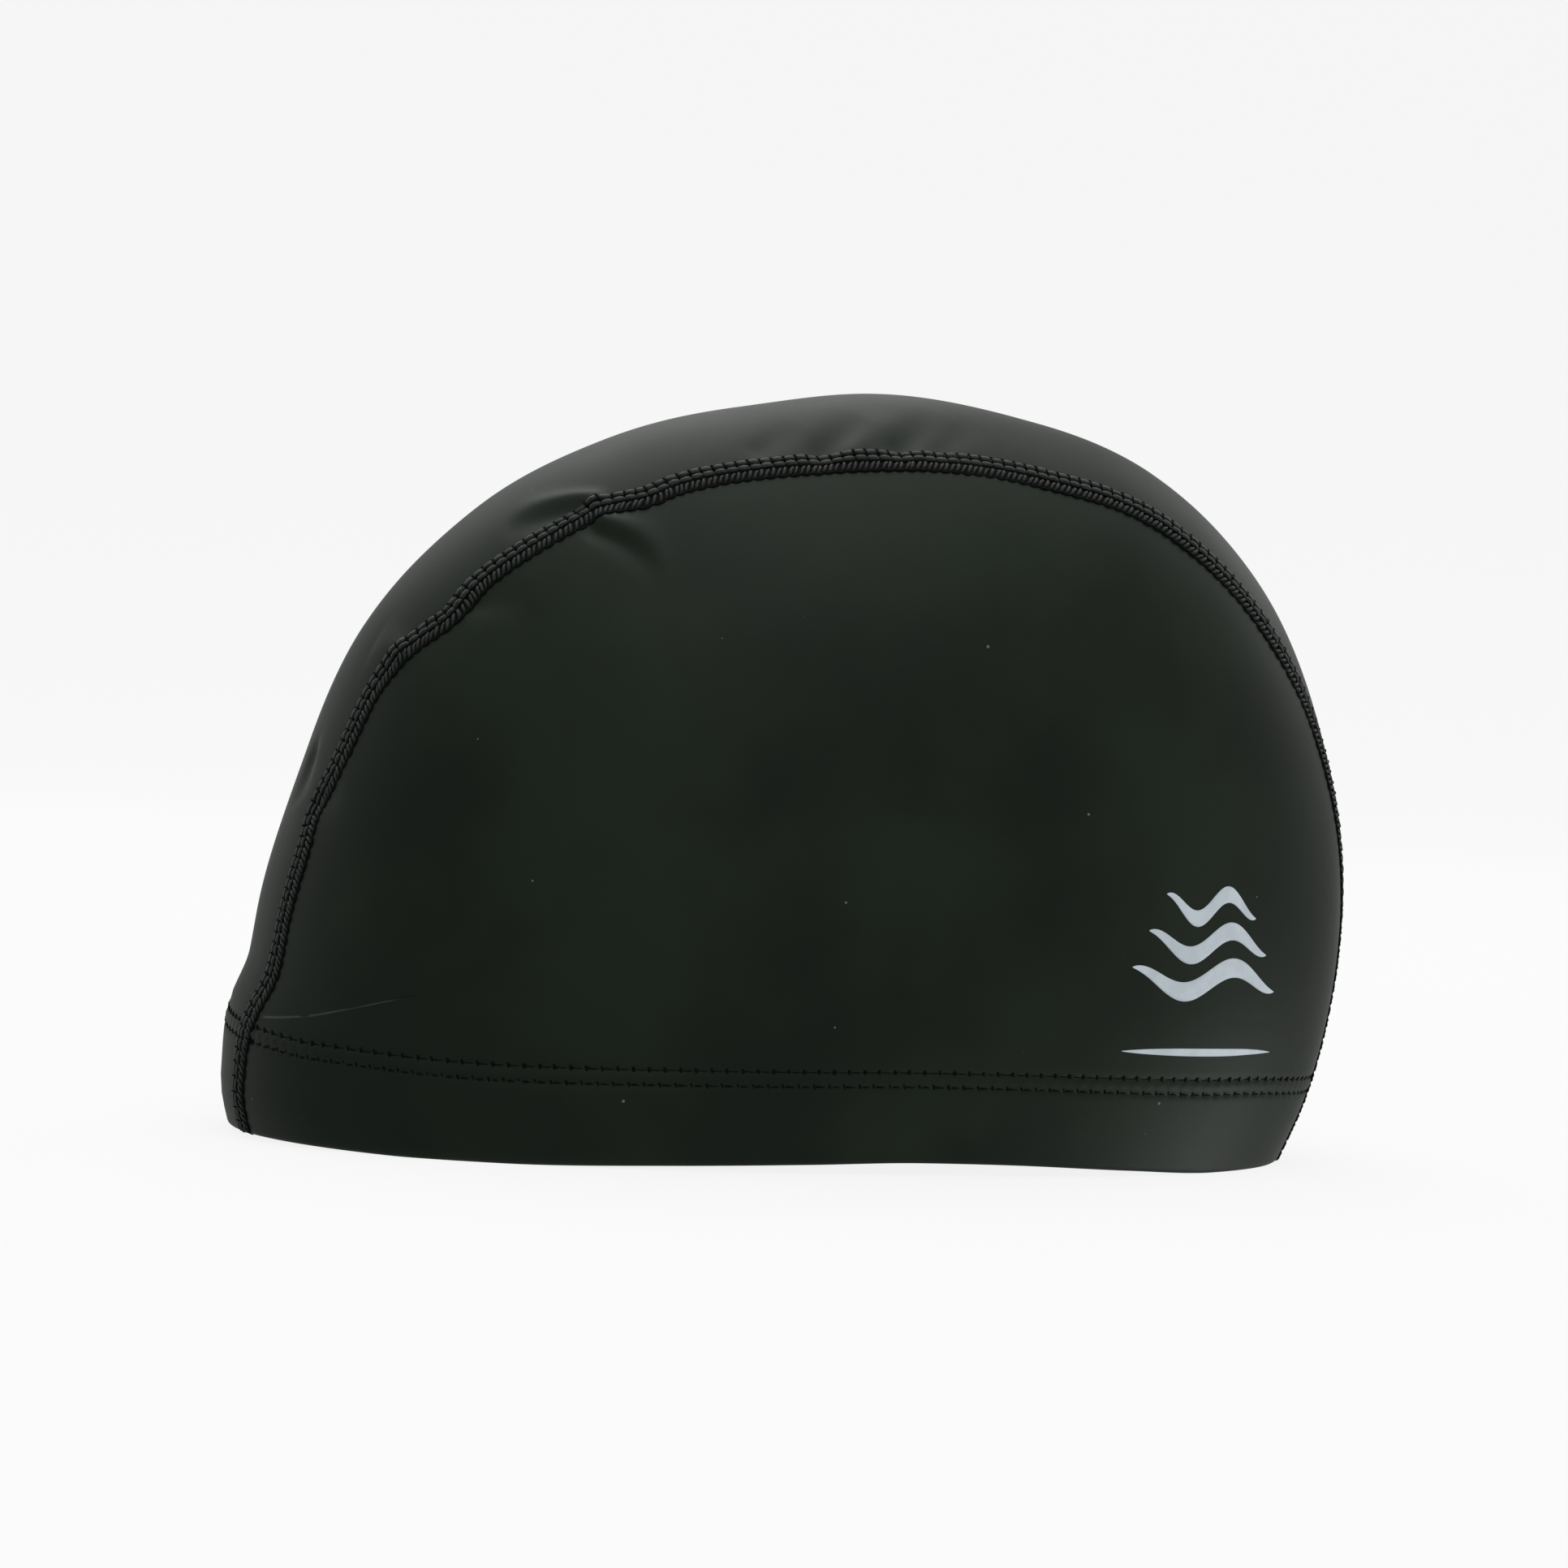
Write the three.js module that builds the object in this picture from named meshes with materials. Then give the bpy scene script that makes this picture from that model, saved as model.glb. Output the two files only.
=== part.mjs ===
// Swim cap of coated stretch cloth: two side panels and a centre panel, joined by two flatlock seams.
// Millimetres. +X is the back of the head, -Y the wearer's left, +Z up, and the rim rests on z = 0.
import * as THREE from 'three';

// Overall form, over the outside of the cloth
const capLength = 219;
const capWidth = 136;
const capHeight = 148;

// Powers of the curve across the cap and of the one over it: 2 is an ellipse, and more is squarer
const sideRoundness = 2.2;
const crownRoundness = 2.5;

// Cloth, and the hem that is turned up inside it
const clothWall = 1.0;
const hemWall = 2.0;
const hemDepth = 19;
const hemEdgeStep = 0.8;
const foldRounding = 0.5;
const rimLift = 2.3;
const liftFade = 60;

// Centre panel, seams and the gap that the pieces keep to each other
const centreWidth = 70;
const seamWidth = 5.4;
const seamInnerWidth = 4.4;
const seamThickness = 0.7;
const seamInnerThickness = 0.4;
const seamWeb = 0.6;
const flangeTaper = 0.45;
const clearance = 0.3;

const creaseHeight = 1.7; // of the deepest crease

// Fineness of the surfaces
const crownSteps = 64;
const rimSteps = 32;
const browCrowding = 0.06; // how much closer the crown's steps are over the brow's puckers than at the nape
const centreColumns = 6;

const halfLength = capLength / 2;
const halfWidth = capWidth / 2;
const centreHalf = centreWidth / 2;
const archRadius = (halfLength + capHeight) / 2;
const degree = Math.PI / 180;
const left = -1;
const right = 1;

// The arch of the crown line, from the nape at turn 0 over the top to the brow at turn 180.
// turn: degrees; reach: share of the half length and the height;
// leftStrip and rightStrip: share of half the centre panel's width. The cap sits a little askew on the brow.
const arch = [
  { turn: 0, reach: 0.905, leftStrip: 0.5, rightStrip: 0.46 },
  { turn: 10, reach: 0.991, leftStrip: 0.52, rightStrip: 0.49 },
  { turn: 20, reach: 1.063, leftStrip: 0.6, rightStrip: 0.56 },
  { turn: 30, reach: 1.106, leftStrip: 0.77, rightStrip: 0.68 },
  { turn: 42, reach: 1.128, leftStrip: 0.925, rightStrip: 0.82 },
  { turn: 56, reach: 1.098, leftStrip: 0.955, rightStrip: 0.92 },
  { turn: 70, reach: 1.038, leftStrip: 0.985, rightStrip: 0.98 },
  { turn: 84, reach: 1, leftStrip: 1, rightStrip: 1 },
  { turn: 98, reach: 0.979, leftStrip: 0.96, rightStrip: 0.985 },
  { turn: 112, reach: 0.992, leftStrip: 0.905, rightStrip: 0.95 },
  { turn: 126, reach: 1.016, leftStrip: 0.82, rightStrip: 0.89 },
  { turn: 140, reach: 1.03, leftStrip: 0.66, rightStrip: 0.81 },
  { turn: 152, reach: 1.009, leftStrip: 0.465, rightStrip: 0.745 },
  { turn: 163, reach: 0.995, leftStrip: 0.38, rightStrip: 0.7 },
  { turn: 168, reach: 0.99, leftStrip: 0.368, rightStrip: 0.685 },
  { turn: 173, reach: 1.013, leftStrip: 0.3, rightStrip: 0.67 },
  { turn: 177, reach: 1.014, leftStrip: 0.26, rightStrip: 0.66 },
  { turn: 180, reach: 0.996, leftStrip: 0.25, rightStrip: 0.65 },
];

// How far the sides stand out. height: share of the cap's height; spread: share of its half width
const sides = [
  { height: 0, spread: 0.89 },
  { height: 0.1, spread: 0.945 },
  { height: 0.2, spread: 0.99 },
  { height: 0.3, spread: 1.021 },
  { height: 0.42, spread: 1.045 },
  { height: 1.1, spread: 1.05 },
];

// How the rim's edge rises off the ground. along: share of the half length; lift: share of the rim's lift
const rim = [
  { along: -1, lift: 0.35 },
  { along: -0.85, lift: 0.1 },
  { along: -0.76, lift: 0 },
  { along: -0.62, lift: 0 },
  { along: -0.35, lift: 0.33 },
  { along: -0.1, lift: 0.7 },
  { along: 0.1, lift: 1 },
  { along: 0.28, lift: 0.88 },
  { along: 0.5, lift: 0.4 },
  { along: 0.68, lift: 0 },
  { along: 0.9, lift: 0 },
  { along: 1, lift: 0.03 },
];

// Puckers in the left seam's line. turn and spread: degrees;
// shift: share of the seam's width, out from the centre
const puckers = [
  { turn: 114, spread: 2.5, shift: 0.16 },
  { turn: 119, spread: 3, shift: -0.14 },
  { turn: 136, spread: 2.6, shift: 0.4 },
  { turn: 144.5, spread: 3.2, shift: -0.25 },
  { turn: 154.6, spread: 2.3, shift: -0.34 },
];

// Creases in the cloth, pushed out or pressed in, most where they start and widening as they fade to nothing.
// turn: degrees round the arch; across: share of the half width;
// reach: share of the length that its flank takes; push: share of the deepest crease
const creases = [
  { turn: 119.1, across: -0.49, toTurn: 114.5, toAcross: -0.625, reach: 0.009, push: 0.6 },
  { turn: 120.4, across: -0.5, toTurn: 116.2, toAcross: -0.65, reach: 0.009, push: -0.5 },
  { turn: 133.5, across: -0.45, toTurn: 129, toAcross: -0.55, reach: 0.011, push: -0.35 },
  { turn: 154.4, across: -0.21, toTurn: 152.5, toAcross: -0.33, reach: 0.01, push: -0.35 },
  { turn: 140.8, across: -0.32, toTurn: 141.5, toAcross: -0.15, reach: 0.012, push: 0.5 },
  { turn: 118.6, across: -0.4, toTurn: 125.5, toAcross: -0.245, reach: 0.009, push: 0.65 },
  { turn: 120.4, across: -0.4, toTurn: 127.5, toAcross: -0.31, reach: 0.009, push: -0.5 },
  { turn: 151, across: 0, toTurn: 155, toAcross: -0.04, reach: 0.012, push: -0.5 },
  { turn: 94.3, across: -0.47, toTurn: 88, toAcross: -0.33, reach: 0.013, push: -0.55 },
  { turn: 90.5, across: -0.47, toTurn: 84.5, toAcross: -0.33, reach: 0.011, push: 0.3 },
  { turn: 85.5, across: -0.48, toTurn: 79, toAcross: -0.31, reach: 0.013, push: -0.55 },
  { turn: 81, across: -0.48, toTurn: 75.5, toAcross: -0.33, reach: 0.011, push: -0.3 },
  { turn: 100.6, across: -0.42, toTurn: 95, toAcross: -0.33, reach: 0.012, push: -0.3 },
];

// A smooth curve through a table's rows, level where a row is a highest or lowest point
function curveThrough(rows, from, to) {
  const rise = (i) => (rows[i + 1][to] - rows[i][to]) / (rows[i + 1][from] - rows[i][from]);
  const slopeAt = (i) => {
    const before = rise(Math.max(i - 1, 0));
    const after = rise(Math.min(i, rows.length - 2));
    return before * after <= 0 ? 0 : (before + after) / 2;
  };
  return (place) => {
    const at = THREE.MathUtils.clamp(place, rows[0][from], rows[rows.length - 1][from]);
    let i = 0;
    while (i < rows.length - 2 && at > rows[i + 1][from]) i += 1;
    const span = rows[i + 1][from] - rows[i][from];
    const t = (at - rows[i][from]) / span;
    const ease = t * t * (3 - 2 * t);
    const value = rows[i][to] * (1 - ease) + rows[i + 1][to] * ease;
    return value + span * t * (1 - t) * (slopeAt(i) * (1 - t) - slopeAt(i + 1) * t);
  };
}

const reachAt = curveThrough(arch, 'turn', 'reach');
const stripAt = {
  [left]: curveThrough(arch, 'turn', 'leftStrip'),
  [right]: curveThrough(arch, 'turn', 'rightStrip'),
};
const spreadAt = curveThrough(sides, 'height', 'spread');
const liftAt = curveThrough(rim, 'along', 'lift');

// The bare form is every point whose field is 1. A point's turn is its angle round the arch.
function turnOf(x, z) {
  return Math.atan2(Math.max(z, 0) / capHeight, x / halfLength) / degree;
}

function sizeOf(x, z) {
  return Math.hypot(x / halfLength, Math.max(z, 0) / capHeight) / reachAt(turnOf(x, z));
}

function widthAt(z) {
  return halfWidth * spreadAt(Math.max(z, 0) / capHeight);
}

function field(x, y, z) {
  return sizeOf(x, z) ** crownRoundness + (Math.abs(y) / widthAt(z)) ** sideRoundness;
}

function gradient(point) {
  const step = 0.01;
  const { x, y, z } = point;
  return new THREE.Vector3(
    field(x + step, y, z) - field(x - step, y, z),
    field(x, y + step, z) - field(x, y - step, z),
    field(x, y, z + step) - field(x, y, z - step),
  ).divideScalar(2 * step);
}

// The point of the bare form nearest to a point that is already close to it
function settle(point) {
  const settled = point.clone();
  for (let pass = 0; pass < 3; pass += 1) {
    const slope = gradient(settled);
    const error = field(settled.x, settled.y, settled.z) - 1;
    settled.addScaledVector(slope, -error / slope.lengthSq());
  }
  return settled;
}

// Bare point at a turn round the arch and a distance y from the crown line
function pointAcross(turn, y) {
  const reach = reachAt(turn);
  const end = {
    x: Math.cos(turn * degree) * halfLength * reach,
    z: Math.sin(turn * degree) * capHeight * reach,
  };
  let size = 1;
  for (let pass = 0; pass < 12; pass += 1) {
    const share = Math.abs(y) / widthAt(end.z * size);
    size = Math.max(1 - share ** sideRoundness, 0) ** (1 / crownRoundness);
  }
  return new THREE.Vector3(end.x * size, y, end.z * size);
}

// Bare point of one side at a length and height
function pointBeside(x, z, side) {
  const share = Math.max(1 - sizeOf(x, z) ** crownRoundness, 0) ** (1 / sideRoundness);
  return new THREE.Vector3(x, side * widthAt(z) * share, z);
}

// A place on the cloth as if it were rolled out flat: its way round the arch and across it
function rolledOut(turn, y) {
  return new THREE.Vector2(turn * degree * archRadius, y);
}

// How far the creases push the cloth out at a bare point
function creaseAt(point) {
  const here = rolledOut(turnOf(point.x, point.z), point.y);
  let push = 0;
  for (const crease of creases) {
    const start = rolledOut(crease.turn, crease.across * halfWidth);
    const run = rolledOut(crease.toTurn, crease.toAcross * halfWidth).sub(start);
    const along = here.clone().sub(start).dot(run) / run.lengthSq();
    const share = THREE.MathUtils.clamp(along, 0, 1);
    const nearest = start.clone().addScaledVector(run, share);
    const away = here.distanceTo(nearest) / (crease.reach * capLength * (1 + share));
    push += crease.push * (1 - share * share) * Math.exp(-away * away);
  }
  return push * creaseHeight;
}

// The cloth point that lies a depth inside the outer face, with the creases and the rim's rise
function dress(bare, depth) {
  const out = gradient(bare);
  out.z *= THREE.MathUtils.smoothstep(bare.z, 0, hemDepth);
  const point = bare.clone().addScaledVector(out.normalize(), creaseAt(bare) - depth);
  point.z += rimLift * liftAt(bare.x / halfLength) * Math.max(1 - bare.z / liftFade, 0) ** 2;
  return point;
}

function wallAt(z) {
  const turnedUp = 1 - THREE.MathUtils.smoothstep(z, hemDepth - hemEdgeStep, hemDepth);
  return clothWall + (hemWall - clothWall) * turnedUp;
}

// Heights of the rows that cross the hem, and the turns at which a seam passes them
const hemHeights = [0, foldRounding, hemDepth / 2, hemDepth - hemEdgeStep, hemDepth];
const hemRows = hemHeights.length - 1;

function turnAtHeight(height, lowTurn, highTurn) {
  let [low, high] = [lowTurn, highTurn];
  for (let pass = 0; pass < 40; pass += 1) {
    const middle = (low + high) / 2;
    const below = pointAcross(middle, stripAt[left](middle) * centreHalf).z < height;
    if (below) low = middle;
    else high = middle;
  }
  return (low + high) / 2;
}

function stationTurns() {
  const nape = hemHeights.map((height) => turnAtHeight(height, 0, 90));
  const brow = hemHeights.map((height) => turnAtHeight(height, 180, 90)).reverse();
  const start = nape.pop();
  const end = brow.shift();
  const crown = Array.from({ length: crownSteps + 1 }, (_, i) => {
    const share = i / crownSteps;
    return THREE.MathUtils.lerp(start, end, share + browCrowding * (1 - Math.cos(2 * Math.PI * share)));
  });
  return [...nape, ...crown, ...brow];
}

const turns = stationTurns();
const stationCount = turns.length;

function seamPoint(turn, side) {
  let across = stripAt[side](turn) * centreHalf;
  if (side === left) {
    for (const { turn: middle, spread, shift } of puckers) {
      across += shift * seamWidth * Math.exp(-(((turn - middle) / spread) ** 2));
    }
  }
  return pointAcross(turn, side * across);
}

// A seam's line as frames: the bare point, the way in to the centre panel, and the hem row that it keeps to
function seamFrames(side) {
  const line = turns.map((turn) => seamPoint(turn, side));
  return line.map((point, i) => {
    const before = line[Math.max(i - 1, 0)];
    const after = line[Math.min(i + 1, stationCount - 1)];
    const tangent = after.clone().sub(before).normalize();
    const inward = tangent.cross(gradient(point).normalize()).normalize().multiplyScalar(-side);
    const height = hemHeights[Math.min(i, stationCount - 1 - i)];
    return { point, inward, height };
  });
}

// Bare point a distance in from a seam's line, towards the centre panel
function besideSeam(frame, distance) {
  const point = settle(frame.point.clone().addScaledVector(frame.inward, distance));
  point.z = frame.height ?? point.z;
  return point;
}

const seams = { [left]: seamFrames(left), [right]: seamFrames(right) };
const panelEdge = seamWeb / 2 + clearance;
const flangeReach = seamWidth / 2 + clearance;

// A closed body under construction: points and the triangles between them
class Body {
  constructor() {
    this.points = [];
    this.triangles = [];
  }

  add(point) {
    this.points.push(point);
    return this.points.length - 1;
  }

  triangle(a, b, c) {
    this.triangles.push([a, b, c]);
  }

  quad(a, b, c, d) {
    this.triangle(a, b, c);
    this.triangle(a, c, d);
  }

  // A cell of a grid, split from its first corner, or else from its second
  cell([a, b, c, d], fromFirst) {
    if (fromFirst) this.quad(a, b, c, d);
    else this.quad(b, c, d, a);
  }

  geometry(flipped) {
    const geometry = new THREE.BufferGeometry();
    const places = this.points.flatMap((point) => point.toArray());
    geometry.setAttribute('position', new THREE.Float32BufferAttribute(places, 3));
    geometry.setIndex(this.triangles.flatMap(([a, b, c]) => (flipped ? [a, c, b] : [a, b, c])));
    geometry.computeVertexNormals();
    return geometry;
  }
}

// A cloth panel from one sheet of bare points: its outer face, its inner face and the edge between them
class Sheet extends Body {
  cloth(flipped) {
    const body = new Body();
    for (const bare of this.points) {
      body.add(dress(bare, bare.z === 0 ? foldRounding : 0));
    }
    for (const bare of this.points) {
      const wall = wallAt(bare.z);
      body.add(dress(bare, bare.z === 0 ? wall - foldRounding : wall));
    }
    const inner = this.points.length;
    const open = new Map();
    for (const [a, b, c] of this.triangles) {
      body.triangle(a, b, c);
      body.triangle(inner + a, inner + c, inner + b);
      for (const [from, to] of [[a, b], [b, c], [c, a]]) {
        if (!open.delete(`${to} ${from}`)) open.set(`${from} ${to}`, [from, to]);
      }
    }
    for (const [from, to] of open.values()) {
      body.quad(to, from, inner + from, inner + to);
    }
    return body.geometry(flipped);
  }
}

// Side panel: a strip along the seam, rows across the hem, and rings that shrink to the panel's middle
const ringShares = [0.97, 0.935, 0.89, 0.8, 0.69, 0.53, 0.32];
const halvedRings = [0.89, 0.53];
const panelMiddle = { x: 0.05 * halfLength, z: 0.45 * capHeight };

function sidePanel(side) {
  const sheet = new Sheet();
  const edge = seams[side].map((frame) => sheet.add(besideSeam(frame, -panelEdge)));
  const strip = seams[side].map((frame) => sheet.add(besideSeam(frame, -flangeReach)));
  for (let i = 0; i < stationCount - 1; i += 1) {
    sheet.quad(edge[i], edge[i + 1], strip[i + 1], strip[i]);
  }

  const rows = hemHeights.map((height, row) => {
    const brow = strip[stationCount - 1 - row];
    const nape = strip[row];
    const between = Array.from({ length: rimSteps - 1 }, (_, i) => {
      const share = (1 - Math.cos(((i + 1) / rimSteps) * Math.PI)) / 2;
      const x = THREE.MathUtils.lerp(sheet.points[brow].x, sheet.points[nape].x, share);
      return sheet.add(pointBeside(x, height, side));
    });
    return [brow, ...between, nape];
  });
  for (let row = 0; row < hemRows; row += 1) {
    for (let i = 0; i < rimSteps; i += 1) {
      sheet.quad(rows[row][i], rows[row][i + 1], rows[row + 1][i + 1], rows[row + 1][i]);
    }
  }

  const border = [...rows[hemRows], ...strip.slice(hemRows + 1, stationCount - 1 - hemRows)];
  let ring = border;
  let kept = border.map((index) => sheet.points[index]);
  for (const share of ringShares) {
    const halved = halvedRings.includes(share);
    if (halved) kept = kept.filter((_, i) => i % 2 === 0);
    const next = kept.map((point) => {
      const x = THREE.MathUtils.lerp(panelMiddle.x, point.x, share);
      const z = THREE.MathUtils.lerp(panelMiddle.z, point.z, share);
      return sheet.add(pointBeside(x, z, side));
    });
    next.forEach((inner, i) => {
      const nextInner = next[(i + 1) % next.length];
      if (halved) {
        const [a, b, c] = [0, 1, 2].map((step) => ring[(2 * i + step) % ring.length]);
        sheet.triangle(a, b, inner);
        sheet.triangle(b, nextInner, inner);
        sheet.triangle(b, c, nextInner);
      } else {
        sheet.quad(ring[i], ring[(i + 1) % ring.length], nextInner, inner);
      }
    });
    ring = next;
  }
  const middle = sheet.add(pointBeside(panelMiddle.x, panelMiddle.z, side));
  ring.forEach((index, i) => sheet.triangle(index, ring[(i + 1) % ring.length], middle));
  return sheet.cloth(side === right);
}

// Centre panel: rows across it, one at each station of the seams
function centrePanel() {
  const sheet = new Sheet();
  const rows = turns.map((_, i) => {
    const [leftFrame, rightFrame] = [seams[left][i], seams[right][i]];
    const from = besideSeam(leftFrame, flangeReach);
    const to = besideSeam(rightFrame, flangeReach);
    const between = Array.from({ length: centreColumns - 1 }, (unused, column) => {
      const share = (column + 1) / centreColumns;
      const turn = THREE.MathUtils.lerp(turnOf(from.x, from.z), turnOf(to.x, to.z), share);
      const point = pointAcross(turn, THREE.MathUtils.lerp(from.y, to.y, share));
      point.z = leftFrame.height ?? point.z;
      return point;
    });
    const row = [besideSeam(leftFrame, panelEdge), from, ...between, to, besideSeam(rightFrame, panelEdge)];
    return row.map((point) => sheet.add(point));
  });
  for (let i = 0; i < stationCount - 1; i += 1) {
    const columns = rows[i].length - 1;
    for (let column = 0; column < columns; column += 1) {
      const cell = [rows[i][column], rows[i][column + 1], rows[i + 1][column + 1], rows[i + 1][column]];
      sheet.cell(cell, column < columns / 2);
    }
  }
  return sheet.cloth(false);
}

// Seam: a flange over the panels' outer faces, one over their inner faces, and a web between their edges.
// across: distance from the seam's line; depth: inside the outer face;
// wall: 1 where the cloth's wall adds to it
const webSide = seamWeb / 2;
const outerSide = seamWidth / 2;
const innerSide = seamInnerWidth / 2;
const halfSection = [
  { across: innerSide - flangeTaper, depth: clearance + seamInnerThickness, wall: 1 },
  { across: innerSide, depth: clearance, wall: 1 },
  { across: webSide, depth: clearance, wall: 1 },
  { across: webSide, depth: -clearance, wall: 0 },
  { across: outerSide, depth: -clearance, wall: 0 },
  { across: outerSide - flangeTaper, depth: -clearance - seamThickness, wall: 0 },
];
const otherHalf = halfSection.map((corner) => ({ ...corner, across: -corner.across })).reverse();
const section = [...halfSection, ...otherHalf];

function seam(side) {
  const body = new Body();
  const rings = seams[side].map((frame) =>
    section.map(({ across, depth, wall }) => {
      const bare = besideSeam(frame, across);
      return body.add(dress(bare, depth + wall * wallAt(bare.z)));
    }),
  );
  for (let i = 0; i < stationCount - 1; i += 1) {
    for (let corner = 0; corner < section.length; corner += 1) {
      const next = (corner + 1) % section.length;
      const widens = Math.abs(section[next].across) >= Math.abs(section[corner].across);
      body.cell([rings[i][corner], rings[i][next], rings[i + 1][next], rings[i + 1][corner]], widens);
    }
  }
  // The ends are the section's two flanges and its web
  const ends = [
    [3, 4, 5, 6, 7, 8],
    [2, 3, 8, 9],
    [0, 1, 2, 9, 10, 11],
  ];
  for (const part of ends) {
    for (let i = 1; i < part.length - 1; i += 1) {
      const [a, b, c] = [part[0], part[i], part[i + 1]];
      body.triangle(rings[0][a], rings[0][c], rings[0][b]);
      body.triangle(rings.at(-1)[a], rings.at(-1)[b], rings.at(-1)[c]);
    }
  }
  return body.geometry(side === left);
}

// Looks in plain colours: the coated cloth is a near-black green grey, and the thread is black
const coatedCloth = new THREE.MeshStandardMaterial({ color: 0x242a25, roughness: 0.5, metalness: 0 });
const centreCloth = new THREE.MeshStandardMaterial({ color: 0x2e3230, roughness: 0.5, metalness: 0 });
const seamThread = new THREE.MeshStandardMaterial({ color: 0x121212, roughness: 0.8, metalness: 0 });

function named(name, geometry, material) {
  const mesh = new THREE.Mesh(geometry, material);
  mesh.name = name;
  return mesh;
}

const swimCap = new THREE.Group();
swimCap.add(
  named('left_side_panel', sidePanel(left), coatedCloth),
  named('right_side_panel', sidePanel(right), coatedCloth),
  named('centre_panel', centrePanel(), centreCloth),
  named('left_seam', seam(left), seamThread),
  named('right_seam', seam(right), seamThread),
);

export default swimCap;
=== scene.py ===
"""Looks of a swim cap: coated cloth panels, flatlock seams, a stitched hem, a plain print and the stage."""

import math

import bpy
import numpy as np
from bpy.props import FloatProperty, FloatVectorProperty, IntProperty, PointerProperty
from mathutils import Matrix, Vector


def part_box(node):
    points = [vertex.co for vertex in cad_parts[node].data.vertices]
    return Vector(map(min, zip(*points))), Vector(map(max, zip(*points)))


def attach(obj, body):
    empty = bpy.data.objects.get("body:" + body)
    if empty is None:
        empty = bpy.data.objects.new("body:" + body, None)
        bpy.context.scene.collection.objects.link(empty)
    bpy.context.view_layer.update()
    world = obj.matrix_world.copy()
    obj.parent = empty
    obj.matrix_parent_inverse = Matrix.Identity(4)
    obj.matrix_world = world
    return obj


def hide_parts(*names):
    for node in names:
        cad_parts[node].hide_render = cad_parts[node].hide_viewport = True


bl_info = {
    "name": "Swim Cap",
    "version": (1, 0, 0),
    "blender": (4, 5, 0),
    "location": "3D View > Sidebar > Swim Cap",
    "description": "Builds the cloth, seams, stitches and print of a swim cap around its CAD frame",
    "category": "Object",
}

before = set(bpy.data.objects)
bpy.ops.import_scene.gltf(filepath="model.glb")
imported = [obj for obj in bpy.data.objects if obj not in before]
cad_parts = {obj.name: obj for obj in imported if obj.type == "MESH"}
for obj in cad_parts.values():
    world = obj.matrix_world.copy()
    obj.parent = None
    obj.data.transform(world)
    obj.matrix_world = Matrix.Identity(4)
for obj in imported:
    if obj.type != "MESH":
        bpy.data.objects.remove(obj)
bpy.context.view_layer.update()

MM = 0.001
LEFT = -1
RIGHT = 1

# The form of the cap, as shares of its length, width and height, like the CAD source's tables

# Round the arch from the nape, at turn 0, to the brow, at turn 180: the reach from the middle of the rim
ARCH_REACH = [
    (0, 0.905), (10, 0.991), (20, 1.063), (30, 1.106), (42, 1.128), (56, 1.098),
    (70, 1.038), (84, 1), (98, 0.979), (112, 0.992), (126, 1.016), (140, 1.03),
    (152, 1.009), (163, 0.995), (168, 0.99), (173, 1.013), (177, 1.014), (180, 0.996),
]
# Round the arch: how far the left and right edge of the centre panel lie from the crown line,
# as a share of half its widest width. The cap sits a little askew on the brow.
LEFT_STRIP = [
    (0, 0.5), (10, 0.52), (20, 0.6), (30, 0.77), (42, 0.925), (56, 0.955),
    (70, 0.985), (84, 1), (98, 0.96), (112, 0.905), (126, 0.82), (140, 0.66),
    (152, 0.465), (163, 0.38), (168, 0.368), (173, 0.3), (177, 0.26), (180, 0.25),
]
RIGHT_STRIP = [
    (0, 0.46), (10, 0.49), (20, 0.56), (30, 0.68), (42, 0.82), (56, 0.92),
    (70, 0.98), (84, 1), (98, 0.985), (112, 0.95), (126, 0.89), (140, 0.81),
    (152, 0.745), (163, 0.7), (168, 0.685), (173, 0.67), (177, 0.66), (180, 0.65),
]
# Up the sides: how far they stand out
SIDE_SPREAD = [(0, 0.89), (0.1, 0.945), (0.2, 0.99), (0.3, 1.021), (0.42, 1.045), (1.1, 1.05)]
# Along the cap from the brow to the nape: how far the rim's edge rises off the ground
RIM_LIFT = [
    (-1, 0.35), (-0.85, 0.1), (-0.76, 0), (-0.62, 0), (-0.35, 0.33), (-0.1, 0.7),
    (0.1, 1), (0.28, 0.88), (0.5, 0.4), (0.68, 0), (0.9, 0), (1, 0.03),
]
# Puckers in the left seam's line: turn, spread in degrees, and shift as a share of the seam's width
PUCKERS = [
    (114, 2.5, 0.16), (119, 3, -0.14), (136, 2.6, 0.4), (144.5, 3.2, -0.25), (154.6, 2.3, -0.34),
]
# Creases from one turn and share across, where they are deepest, to another, with their reach and push
CREASES = [
    (119.1, -0.49, 114.5, -0.625, 0.009, 0.6),
    (120.4, -0.5, 116.2, -0.65, 0.009, -0.5),
    (133.5, -0.45, 129, -0.55, 0.011, -0.35),
    (154.4, -0.21, 152.5, -0.33, 0.01, -0.35),
    (140.8, -0.32, 141.5, -0.15, 0.012, 0.5),
    (118.6, -0.4, 125.5, -0.245, 0.009, 0.65),
    (120.4, -0.4, 127.5, -0.31, 0.009, -0.5),
    (151, 0, 155, -0.04, 0.012, -0.5),
    (94.3, -0.47, 88, -0.33, 0.013, -0.55),
    (90.5, -0.47, 84.5, -0.33, 0.011, 0.3),
    (85.5, -0.48, 79, -0.31, 0.013, -0.55),
    (81, -0.48, 75.5, -0.33, 0.011, -0.3),
    (100.6, -0.42, 95, -0.33, 0.012, -0.3),
]

SIDE_ROUNDNESS = 2.2
CROWN_ROUNDNESS = 2.5


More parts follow.
